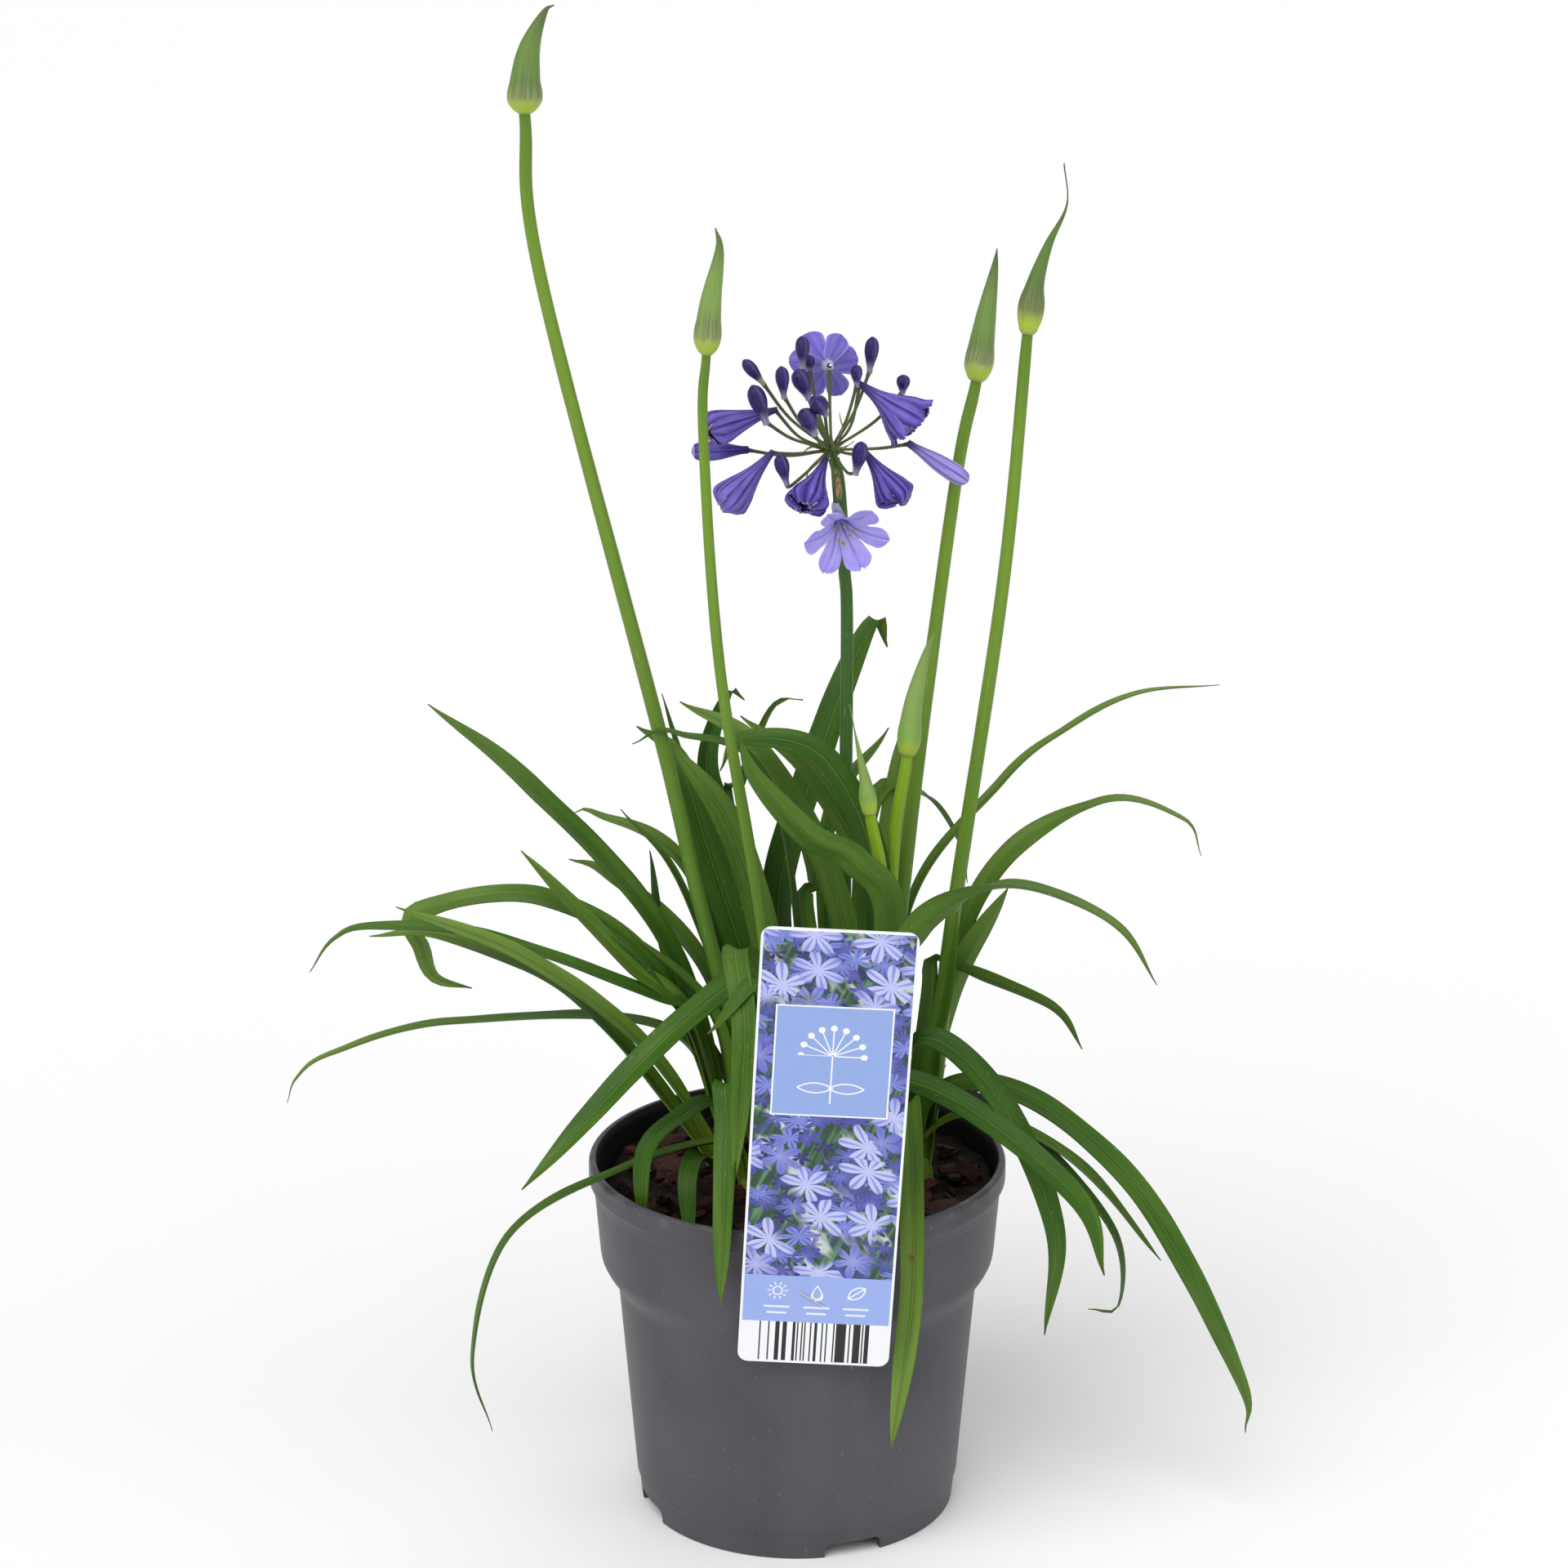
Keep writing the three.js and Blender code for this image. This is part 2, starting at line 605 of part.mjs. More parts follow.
function potGeometry() {
  const { rimRadius, height, footRadius, floor } = POT;
  const { topRadius, bottomRadius, bottom, edgeRound } = COLLAR;
  const { tuckRadius, tuck, tuckRound, lip, lipWidth, ease } = COLLAR;
  const ringInner = footRadius - FOOT.ring;
  const floorTop = FOOT.height + floor;
  const body = lathe([
    [0, 0],
    [FOOT.padRadius, 0],
    [FOOT.padRadius + ease, FOOT.height],
    [ringInner - ease / 2, FOOT.height],
    [ringInner, 0],
    [footRadius, 0],
    [footRadius + ease, FOOT.step - ease],
    [footRadius + ease + FOOT.stepOut, FOOT.step + ease / 2],
    [tuckRadius - ease / 2, tuck - tuckRound],
    [tuckRadius, tuck],
    [bottomRadius - ease, bottom - edgeRound],
    [bottomRadius, bottom],
    [topRadius, height - lip - edgeRound],
    [rimRadius, height - lip],
    [rimRadius, height - ease],
    [rimRadius - ease, height],
    [rimRadius - lipWidth, height],
    [innerRadius(height), height - lipWidth],
    [innerRadius(bottom), bottom],
    [innerRadius(tuck), tuck],
    [innerRadius(floorTop), floorTop],
    [0, floorTop],
  ], POT.sides);
  const tools = [];
  for (let i = 0; i < NOTCH.count; i += 1) tools.push(notchTool(NOTCH.firstAngle + (i * 360) / NOTCH.count));
  for (let i = 0; i < DRAIN.count; i += 1) {
    const angle = ((i + 0.5) / DRAIN.count) * 2 * Math.PI;
    const [x, y] = [DRAIN.ringRadius * Math.cos(angle), DRAIN.ringRadius * Math.sin(angle)];
    tools.push(standing(DRAIN.radius, HOLE.tool, DRAIN.sides, x, y, 0));
  }
  return carve(body, [...tools, ...stapleHoles()]);
}

/** Where everything that stands in the compost has its foot. */
function feet() {
  return [
    ...Object.values(FANS).map(({ foot }) => foot),
    ...Object.values(SCAPES).map(({ stalk }) => stalk[0]),
  ];
}

/** The holes that take the fans' necks and the stalks, with clearance all round. */
function footHoles() {
  const radius = (NECK.bottomRadius + GAP) / Math.cos(Math.PI / HOLE.sides);
  const necks = Object.values(FANS).map(({ foot: [x, y] }) => standing(
    radius, HOLE.tool, HOLE.sides, x, y, SOIL.top - SOIL.holeDepth + HOLE.tool / 2));
  const stalks = Object.values(SCAPES).map((scape) => stalkGeometry(scape, HOLE.margin));
  return [...necks, ...stalks];
}

/** Bark chips lying half sunk in the compost, clear of every foot. */
function barkChips() {
  const random = seeded(BARK.seed);
  const chips = [];
  while (chips.length < BARK.count) {
    const reach = BARK.reach * Math.sqrt(random());
    const angle = random() * 2 * Math.PI;
    const [x, y] = [reach * Math.cos(angle), reach * Math.sin(angle)];
    const grain = random() * Math.PI;
    const size = BARK.smallest + 2 * (1 - BARK.smallest) * random();
    if (feet().some((foot) => Math.hypot(foot[0] - x, foot[1] - y) < BARK.footClearance)) continue;
    const chip = new THREE.IcosahedronGeometry(1, 0);
    chip.scale((BARK.length * size) / 2, (BARK.width * size) / 2, (BARK.thickness * size) / 2);
    chip.rotateX(BARK.tilt * (random() - 0.5));
    chip.rotateZ(grain);
    chip.translate(x, y, SOIL.top + BARK.proud);
    chips.push(chip);
  }
  return chips;
}

function soilGeometry() {
  const floorTop = FOOT.height + POT.floor + GAP;
  const { bottom, tuck } = COLLAR;
  const plug = lathe([
    [0, floorTop],
    [innerRadius(floorTop) - GAP, floorTop],
    [innerRadius(tuck) - 2 * GAP, tuck],
    [innerRadius(bottom) - 2 * GAP, bottom],
    [innerRadius(SOIL.top) - 2 * GAP, SOIL.top],
    [0, SOIL.top],
  ], POT.sides);
  return carve(fuse([plug, ...barkChips()]), footHoles());
}

/** The label's own frame: its face looks forward, leaning on the rim and on the collar. */
function labelFrame() {
  const lean = Math.atan((POT.rimRadius - COLLAR.bottomRadius) / (POT.height - COLLAR.lip - COLLAR.bottom));
  const frame = new THREE.Object3D();
  frame.rotation.set(lean, LABEL.roll * DEG, 0, 'XYZ');
  const drop = POT.height - COLLAR.lip - LABEL.bottom;
  frame.position.set(LABEL.foot, drop * Math.tan(lean) - POT.rimRadius - 2 * GAP, LABEL.bottom);
  frame.updateMatrixWorld();
  return frame;
}

/** The staple's own frame on the label's face: X along its crown, Y into the pot wall. */
function stapleFrame() {
  const label = labelFrame();
  const [x, z] = STAPLE.centre;
  const frame = new THREE.Object3D();
  frame.position.set(x - LABEL.foot, 0, z - LABEL.bottom);
  frame.rotation.set(0, -STAPLE.angle * DEG, 0);
  label.add(frame);
  label.updateMatrixWorld(true);
  return frame;
}

function stapleLegs(thickness, start, length) {
  return [-1, 1].map((end) => {
    const leg = new THREE.BoxGeometry(thickness, length, thickness);
    leg.translate((end * (STAPLE.crown - STAPLE.wire)) / 2, start + length / 2, 0);
    return leg;
  });
}

/** How far behind the label's back face the pot's collar begins at the staple. */
const COLLAR_SETBACK = 1.5;

function stapleHoles() {
  const { matrixWorld } = stapleFrame();
  const start = -LABEL.thickness - 1;
  return stapleLegs(STAPLE.wire + 2 * GAP, start, COLLAR_SETBACK + STAPLE.bite + GAP - start)
    .map((leg) => leg.applyMatrix4(matrixWorld));
}

function stapleGeometry() {
  const crown = new THREE.BoxGeometry(STAPLE.crown, STAPLE.wire, STAPLE.wire);
  crown.translate(0, -LABEL.thickness - GAP - STAPLE.wire / 2, 0);
  const start = -LABEL.thickness - GAP - STAPLE.wire;
  const geometry = fuse([crown, ...stapleLegs(STAPLE.wire, start, COLLAR_SETBACK + STAPLE.bite - start)]);
  return geometry.applyMatrix4(stapleFrame().matrixWorld);
}

function labelGeometry() {
  const half = LABEL.width / 2;
  const { corner, length } = LABEL;
  const outline = new THREE.Shape();
  outline.absarc(half - corner, corner, corner, -Math.PI / 2, 0);
  outline.absarc(half - corner, length - corner, corner, 0, Math.PI / 2);
  outline.absarc(corner - half, length - corner, corner, Math.PI / 2, Math.PI);
  outline.absarc(corner - half, corner, corner, Math.PI, 1.5 * Math.PI);
  outline.closePath();
  const card = new THREE.ExtrudeGeometry(outline, {
    depth: LABEL.thickness,
    bevelEnabled: false,
    curveSegments: 4,
  });
  card.rotateX(Math.PI / 2);
  card.applyMatrix4(labelFrame().matrixWorld);
  return carve(card, stapleHoles());
}

// ---------------------------------------------------------------- leaves

/** The blade's section at a fraction of its length, root to tip. */
function leafSection(width, t) {
  const opening = THREE.MathUtils.smoothstep(t, 0, LEAF.fullFrom);
  const closing = Math.max(0, (t - LEAF.taperFrom) / (1 - LEAF.taperFrom)) ** LEAF.taperPower;
  const full = width * THREE.MathUtils.lerp(LEAF.base, 1, opening);
  const half = Math.max(LEAF.tipWidth, full * (1 - closing)) / 2;
  const root = LEAF.rootExtra * (1 - opening);
  return { half, middle: LEAF.midrib + root, edge: LEAF.edge + root / 2, dish: LEAF.dish * half * 2 };
}

function leafGeometry(foot, { width, roll, twist = 0, twistAt = 0.55, via }) {
  const root = [foot[0], foot[1], SOIL.top];
  const curve = curveThrough([root, ...via]);
  const tip = via[via.length - 1];
  const heading = new THREE.Vector3(tip[0] - root[0], tip[1] - root[1], 0).normalize();
  const side = new THREE.Vector3().crossVectors(UP, heading);
  const steps = Math.max(4, Math.round(curve.getLength() / LEAF.step));
  const turned = (t) => THREE.MathUtils.smoothstep(t, twistAt, twistAt + LEAF.twisting);
  const rollAt = (t) => roll + twist * turned(t);
  return strap(curve, side, rollAt, steps, (t) => leafSection(width, t), [-1, 0, 1]);
}

function neckGeometry([x, y]) {
  const bottom = SOIL.top - SOIL.holeDepth + GAP;
  const neck = new THREE.CylinderGeometry(NECK.topRadius, NECK.bottomRadius, NECK.top - bottom, NECK.sides);
  neck.rotateX(Math.PI / 2);
  neck.translate(x, y, (NECK.top + bottom) / 2);
  return neck;
}

function fanGeometry({ foot, leaves }) {
  return fuse([neckGeometry(foot), ...leaves.map((leaf) => leafGeometry(foot, leaf))]);
}

// ---------------------------------------------------------------- scapes and buds

/** A spathe bud's radius along it: it swells from the stalk, then thins to a point. */
function budRadius({ bulge, thinning }, t) {
  const { widest, tipRadius } = SPATHE;
  if (t < widest) {
    const swell = Math.sin((t / widest) * 0.5 * Math.PI) ** SPATHE.roundness;
    return THREE.MathUtils.lerp(SCAPE.topRadius + GAP, bulge, swell);
  }
  return Math.max(tipRadius, bulge * (1 - (t - widest) / (1 - widest)) ** thinning);
}

/** A stalk from its foot in the compost, grown all round by a margin. */
function stalkGeometry({ stalk, slim = 1 }, margin) {
  const [x, y] = stalk[0];
  const foot = [x, y, SOIL.top - SOIL.holeDepth + GAP - margin];
  const places = [foot, ...stalk.slice(1)];
  const [low, high] = [SCAPE.footRadius, SCAPE.topRadius].map((radius) => slim * radius + margin);
  return tube(places, low, high, SCAPE.sides, SCAPE.step);
}

function scapeGeometry({ stalk, slim, bud }) {
  const stem = stalkGeometry({ stalk, slim }, 0);
  if (!bud) return stem;
  const top = stalk[stalk.length - 1];
  const curve = curveThrough([[top[0], top[1], top[2] - 1.5], ...bud.via]);
  return fuse([stem, round(curve, (t) => budRadius(bud, t), SCAPE.sides, SPATHE.steps)]);
}

// ---------------------------------------------------------------- the umbel

const headCentre = new THREE.Vector3(...HEAD.centre);

function fromHead(place) {
  return headCentre.clone().add(new THREE.Vector3(...place));
}

function pedicelGeometry({ base, hook }) {
  const { radius, flare, sides, step, bendAt } = PEDICEL;
  const rise = base[2] > 0 ? 0.5 * base[2] - radius : 0.3 * base[2];
  const bend = hook ?? [bendAt * base[0], bendAt * base[1], rise];
  const start = new THREE.Vector3(...bend).setLength(0.4 * HEAD.radius).toArray();
  const places = [start, bend, base].map((place) => fromHead(place).toArray());
  return tube(places, radius, radius + flare, sides, step);
}

/** A closed floret bud, or a shut flower when it is long. */
function budGeometry(base, mouth, girth) {
  const curve = new THREE.LineCurve3(base, mouth);
  const radiusAt = (t) => BUD.blunt + girth * Math.sin(Math.PI * THREE.MathUtils.lerp(0.08, 0.92, t)) ** 0.8;
  return round(curve, radiusAt, BUD.sides, BUD.steps);
}

/** An open flower: six tepals spread round a short tube, as one thin body. */
function openFlower(base, mouth, wide = 1) {
  const axis = mouth.clone().sub(base).normalize();
  const across = new THREE.Vector3().crossVectors(axis, UP).normalize();
  const at = (angle, radius, height) => base.clone()
    .addScaledVector(axis, height)
    .addScaledVector(across.clone().applyAxisAngle(axis, angle * DEG), wide * radius);
  const tepals = [0, 60, 120, 180, 240, 300];
  const shoulder = 0.96; // how far out a tepal's sides reach, as a share of its middle
  const rings = OPEN_FLOWER.map(({ height, reach, spread, gapHeight, gap }) => tepals.flatMap((angle) => [
    at(angle - 30, gap, gapHeight),
    at(angle - spread, reach * shoulder, height),
    at(angle, reach, height - GAP),
    at(angle + spread, reach * shoulder, height),
  ]));
  return skin(rings);
}

/** A half-open flower: a trumpet whose mouth is cut in six lobes, hollow down to its throat. */
function trumpet(base, mouth, wide = 1) {
  const axis = mouth.clone().sub(base);
  const length = axis.length();
  axis.normalize();
  const across = new THREE.Vector3().crossVectors(axis, UP).normalize();
  const rings = TRUMPET.map(({ along, radius, lobe }) => Array.from({ length: TRUMPET_SIDES }, (_, j) => {
    const swell = j % 2 === 0 ? lobe : -lobe;
    const out = across.clone().applyAxisAngle(axis, (j / TRUMPET_SIDES) * 2 * Math.PI);
    return base.clone()
      .addScaledVector(axis, along * length + swell)
      .addScaledVector(out, (radius + TRUMPET_FLARE * swell) * THREE.MathUtils.lerp(1, wide, along));
  }));
  return skin(rings);
}

function umbelGeometry() {
  const boss = new THREE.IcosahedronGeometry(HEAD.radius, 1);
  boss.translate(...HEAD.centre);
  const pieces = [boss];
  for (const [form, florets] of Object.entries(FLORETS)) {
    for (const floret of florets) {
      const base = fromHead(floret.base);
      const mouth = fromHead(floret.mouth);
      const axis = mouth.clone().sub(base).normalize();
      const root = base.clone().addScaledVector(axis, -0.8);
      pieces.push(pedicelGeometry(floret));
      if (form === 'open') pieces.push(openFlower(root, mouth, floret.wide));
      else if (form === 'half') pieces.push(trumpet(root, mouth, floret.wide));
      else pieces.push(budGeometry(root, mouth, floret.girth ?? BUD.girth));
    }
  }
  return fuse(pieces);
}

// ---------------------------------------------------------------- the plant

const colours = {
  pot: { color: 0x4a4a50, roughness: 0.45 },
  soil: { color: 0x2a1a14, roughness: 0.95 },
  label: { color: 0x7f93cf, roughness: 0.35 },
  staple: { color: 0xb5b8bc, roughness: 0.35, metalness: 0.9 },
  leaf: { color: 0x35651f, roughness: 0.45 },
  scape: { color: 0x5d8a3c, roughness: 0.5 },
  umbel: { color: 0x5148a8, roughness: 0.5 },
};

const group = new THREE.Group();

function place(name, geometry, look) {
  const mesh = new THREE.Mesh(geometry, new THREE.MeshStandardMaterial(colours[look]));
  mesh.name = name;
  group.add(mesh);
}

place('pot', potGeometry(), 'pot');
place('soil', soilGeometry(), 'soil');
place('label', labelGeometry(), 'label');
place('staple', stapleGeometry(), 'staple');
for (const [name, scape] of Object.entries(SCAPES)) place(name, scapeGeometry(scape), 'scape');
place('umbel', umbelGeometry(), 'umbel');
for (const [name, fan] of Object.entries(FANS)) place(name, fanGeometry(fan), 'leaf');

export default group;
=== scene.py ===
"""A potted agapanthus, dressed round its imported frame.

Sizes are millimetres until a finished mesh is brought to metres. X runs to the right, Y away from the
front and Z up, from the middle of the pot's underside.
"""

import logging
from collections.abc import Callable, Iterable, Mapping, Sequence
from dataclasses import dataclass
from enum import Enum
from itertools import product
from math import atan2, cos, exp, hypot, pi, radians, sin, sqrt
from random import Random
from typing import Any

import bmesh
import bpy
from bmesh.types import BMesh, BMFace, BMVert
from bpy.types import Material, Node, NodeSocket, Object
from mathutils import Matrix, Vector, noise


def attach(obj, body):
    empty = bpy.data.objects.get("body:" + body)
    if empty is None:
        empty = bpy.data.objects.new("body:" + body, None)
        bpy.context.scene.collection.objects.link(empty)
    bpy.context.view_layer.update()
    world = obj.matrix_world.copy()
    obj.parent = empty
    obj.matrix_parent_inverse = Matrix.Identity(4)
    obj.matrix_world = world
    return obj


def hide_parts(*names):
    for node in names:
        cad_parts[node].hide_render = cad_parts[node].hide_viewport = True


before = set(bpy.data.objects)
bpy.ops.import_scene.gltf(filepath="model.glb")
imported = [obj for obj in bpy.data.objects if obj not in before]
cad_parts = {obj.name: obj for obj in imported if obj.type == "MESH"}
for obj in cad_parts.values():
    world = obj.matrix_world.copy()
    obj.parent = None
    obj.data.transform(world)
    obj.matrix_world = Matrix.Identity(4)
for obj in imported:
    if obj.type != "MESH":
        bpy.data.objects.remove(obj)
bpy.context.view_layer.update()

MM = 0.001
UP = Vector((0, 0, 1))
TURN = 2 * pi
log = logging.getLogger("agapanthus")

Place = tuple[float, float, float]
Colour = tuple[float, float, float]
# What bends a grid: a place, or an amount, at the share across or angle round and the share along.
Shape = Callable[[float, float], Vector]
Amount = Callable[[float, float], float]


# shader fields

def math_node(operation: str, swap: bool = False) -> Callable[..., "Field"]:
    """Makes a method that adds one Math node to a field's tree.

    Args:
        operation: the node's operation.
        swap: whether the field comes after the other values.

    Returns:
        The method.
    """
    def method(self: "Field", *others: "Field | float") -> "Field":
        """Adds the node and gives its value."""
        values = [*others, self] if swap else [self, *others]
        return self.coat.value("ShaderNodeMath", {"operation": operation}, dict(enumerate(values)))

    return method


class Field:
    """A shader socket that reads like a number in an expression."""

    def __init__(self, coat: "Coat", socket: NodeSocket) -> None:
        """Wraps an output socket of a coat's tree."""
        self.coat, self.socket = coat, socket

    __add__ = __radd__ = math_node("ADD")
    __sub__, __rsub__ = math_node("SUBTRACT"), math_node("SUBTRACT", swap=True)
    __mul__ = __rmul__ = math_node("MULTIPLY")
    __truediv__, __rtruediv__ = math_node("DIVIDE"), math_node("DIVIDE", swap=True)
    __pow__, __rpow__ = math_node("POWER"), math_node("POWER", swap=True)
    __abs__, root, whole = math_node("ABSOLUTE"), math_node("SQRT"), math_node("FLOOR")
    __gt__, __lt__, high = math_node("GREATER_THAN"), math_node("LESS_THAN"), math_node("MAXIMUM")
    wave, bearing = math_node("SINE"), math_node("ARCTAN2")

    def rise(self, start: float, end: float) -> "Field":
        """Goes smoothly from 0 at the start to 1 at the end, or back where the start is the greater.

        Args:
            start: the value that gives 0.
            end: the value that gives 1.

        Returns:
            The field.
        """
        if start > end:
            return 1 - self.rise(end, start)
        inputs = {"Value": self, "From Min": start, "From Max": end}
        return self.coat.value("ShaderNodeMapRange", {"interpolation_type": "SMOOTHSTEP"}, inputs, "Result")


class Coat:
    """Builds the nodes of one material round a Principled shader."""

    def __init__(self, name: str, **constants: Any) -> None:
        """Starts a material.

        Args:
            name: the material's name.
            constants: values of the shader's own sockets, with _ for a space.
        """
        self.material = bpy.data.materials.new(name)
        self.material.use_nodes = True
        self.tree = self.material.node_tree
        self.tree.nodes.clear()
        named = {key.replace("_", " "): value for key, value in constants.items()}
        self.shader = self.node("ShaderNodeBsdfPrincipled", {}, named)
        self.node("ShaderNodeOutputMaterial", {}, {"Surface": self.shader.outputs["BSDF"]})

    def node(self, kind: str, settings: Mapping[str, Any], inputs: Mapping[Any, Any]) -> Node:
        """Adds a node.

        Args:
            kind: the node's type.
            settings: its settings, set first.
            inputs: values, fields or sockets, by the name or number of the input.

        Returns:
            The node.
        """
        made = self.tree.nodes.new(kind)
        for key, value in settings.items():
            setattr(made, key, value)
        for key, value in inputs.items():
            self.feed(made.inputs[key], value)
        return made

    def feed(self, socket: NodeSocket, value: Any) -> None:
        """Gives an input its value or link.

        Args:
            socket: the input.
            value: a number, field, socket, vector, or colour, which is opaque.
        """
        if isinstance(value, Field):
            self.tree.links.new(value.socket, socket)
        elif isinstance(value, NodeSocket):
            self.tree.links.new(value, socket)
        elif socket.type == "RGBA" and len(value) == 3:
            socket.default_value = (*value, 1)
        else:
            socket.default_value = value

    def value(
        self, kind: str, settings: Mapping[str, Any], inputs: Mapping[Any, Any], output: str | int = 0
    ) -> Field:
        """Adds a node and takes one of its outputs as a field."""
        return Field(self, self.node(kind, settings, inputs).outputs[output])

    def marks(self, *names: str) -> tuple[Field, ...]:
        """Numbers that the mesh carries at its points."""
        return tuple(self.value("ShaderNodeAttribute", {"attribute_name": name}, {}, "Fac") for name in names)

    def spot(self) -> Field:
        """The place on the object, in metres."""
        return self.value("ShaderNodeTexCoord", {}, {}, "Object")

    def parts(self, vector: Field) -> tuple[Field, Field, Field]:
        """The three numbers of a vector."""
        split = self.node("ShaderNodeSeparateXYZ", {}, {0: vector})
        return tuple(Field(self, out) for out in split.outputs)

    def vector(self, x: Field | float, y: Field | float, z: Field | float = 0.0) -> Field:
        """A vector of three numbers."""
        return self.value("ShaderNodeCombineXYZ", {}, {0: x, 1: y, 2: z})

    def grain(
        self, over: Field | tuple[Field | float, ...], scale: float = 1.0, detail: float = 2.0, rough: float = 0.5
    ) -> Field:
        """Soft noise.

        Args:
            over: a vector, or its two or three numbers.
            scale: how many lumps there are to a unit.
            detail: how many finer layers it has.
            rough: how strong they are.

        Returns:
            A field of 0 to 1.
        """
        vector = over if isinstance(over, Field) else self.vector(*over)
        inputs = {"Vector": vector, "Scale": scale, "Detail": detail, "Roughness": rough}
        return self.value("ShaderNodeTexNoise", {}, inputs)

    def mix(self, share: Field | float, first: Field | Colour, second: Field | Colour) -> Field:
        """A colour between two colours."""
        return self.value("ShaderNodeMix", {"data_type": "RGBA"}, {0: share, 6: first, 7: second}, 2)

    def layered(self, base: Field | Colour, layers: Iterable[tuple[Field, Field | Colour]]) -> Field:
        """Lays colours over one.

        Args:
            base: the lowest colour.
            layers: the share and colour of each one over it.

        Returns:
            The whole.
        """
        for share, colour in layers:
            base = self.mix(share, base, colour)
        return base

    def dress(self, base: Field, rough: Field | float, height: Field, depth: float) -> Material:
        """Gives the shader what varies over the surface.

        Args:
            base: its colour.
            rough: its roughness.
            height: its relief, from 0 to 1.
            depth: the millimetres that the relief's 1 stands for.

        Returns:
            The material.
        """
        relief = self.value("ShaderNodeBump", {}, {"Height": height, "Distance": depth * MM, "Strength": 1.0})
        for key, value in {"Base Color": base, "Roughness": rough, "Normal": relief}.items():
            self.feed(self.shader.inputs[key], value)
        return self.material


# finishes

@dataclass(frozen=True)
class LeafFinish:
    """Satin green blade with fine parallel veins, a pale root and a duller back."""

    deep: Colour = (0.011, 0.042, 0.0025)
    middle: Colour = (0.041, 0.118, 0.0065)
    fresh: Colour = (0.162, 0.268, 0.042)
    back: Colour = (0.079, 0.163, 0.019)
    root: Colour = (0.27, 0.34, 0.036)
    sappy_base_when_lit: Colour = (0.165, 0.3, 0.022)
    rib: Colour = (0.13, 0.225, 0.028)
    brown: Colour = (0.12, 0.052, 0.02)
    root_length: float = 30.0
    veins: float = 11.0
    scars: tuple[Place, ...] = ((-0.0385, -0.0022, 0.1475), (0.0372, -0.063, 0.114))

    def material(self) -> Material:
        """Builds the leaf material; tone 0 is the darkest blade and 1 the lightest: partly the blade's own colour,
        partly painted light and shade for how lit it stands.

        Returns:
            The material.
        """
        coat = Coat("leaf green", IOR=1.42, Specular_IOR_Level=0.28)
        across, along, under, tone, share = coat.marks("across", "along", "under", "tone", "share")
        vein = coat.grain((across * self.veins, along * 0.012, tone * 40), 1.0, 3.0, 0.62)
        hair = coat.grain((across * self.veins * 2.6, along * 0.02, tone * 61))
        patch = coat.grain((across * 0.7, along * 0.02, tone * 23), 1.6, 3.0)
        side = abs(across)
        middle = side.rise(0.1, 0.0)
        margin = side.rise(0.93, 1.0)
        # level darkens towards the foot as painted shade among the crowded leaf bases, and lightens towards the tip
        level = tone + (patch - 0.5) * 0.6 + share.rise(0.75, 1.0) * 0.2 - share.rise(0.65, 0.25) * 0.27
        face = coat.mix(level / 0.4, self.deep, self.middle)
        face = coat.mix((level - 0.4) / 0.6, face, self.fresh)
        face = coat.layered(face, [
            (vein.rise(0.52, 0.78) * 0.3, self.rib),
            (vein.rise(0.46, 0.25) * 0.4, self.deep),
            (hair.rise(0.56, 0.68) * 0.22, self.deep),
            # painted shade in the V-fold beside the midrib
            (side.rise(0.26, 0.12) * (1 - middle) * 0.3, self.deep),
            (middle * 0.4, self.rib),
        ])
        rear = coat.mix(level / 0.5, self.deep, self.back)
        rear = coat.layered(rear, [
            (vein.rise(0.52, 0.75) * 0.3, self.fresh),
            (hair.rise(0.54, 0.68) * 0.3, self.middle),
        ])
        base = coat.mix(under * 0.85, face, rear)
        scar = self._scars(coat)
        dry = share.rise(0.968, 1.0) * coat.grain((tone * 9, along * 0.1), 1.0).rise(0.35, 0.6)
        flecks = coat.grain((across * 9, along * 0.35, tone * 77), 1.3, 1.0).rise(0.735, 0.765)
        nicks = coat.grain((across * 3, along * 0.09, tone * 19), 1.3, 2.0).rise(0.72, 0.76)
        base = coat.layered(base, [
            (margin * 0.4, self.deep),
            # the yellow-green lower blade: its own colour, laid only on high-tone blades as painted light, so shaded
            # blades stay dark there
            (along.rise(78.0, 14.0) * tone.rise(0.3, 0.7) * 0.6, self.sappy_base_when_lit),
            (along.rise(self.root_length, 2.0) * 0.85, self.root),
            (flecks * 0.5, (0.34, 0.4, 0.2)),
            (nicks * 0.35, self.brown),
            (dry * 0.5, self.brown),
            (scar, self.brown),
        ])
        rough = 0.36 + under * 0.14 + vein * 0.12 + patch * 0.06 - middle * 0.04
        furrow = vein * 0.6 + hair * 0.35 + middle * (0.5 - under)
        return coat.dress(base, rough, furrow, 0.2)

    def _scars(self, coat: Coat) -> Field:
        """Brown spots at a few places on the blades.

        Args:
            coat: the finish's coat.

        Returns:
            Their mask.
        """
        x, y, z = coat.parts(coat.spot())
        whole: Field | float = 0.0
        for place in self.scars:
            away = ((x - place[0]) ** 2 + (y - place[1]) ** 2 + (z - place[2]) ** 2).root() / MM
            ring = away.rise(2.4, 1.3) * (0.55 + away.rise(0.5, 1.0) * 0.35)
            whole = ring + whole
        return whole


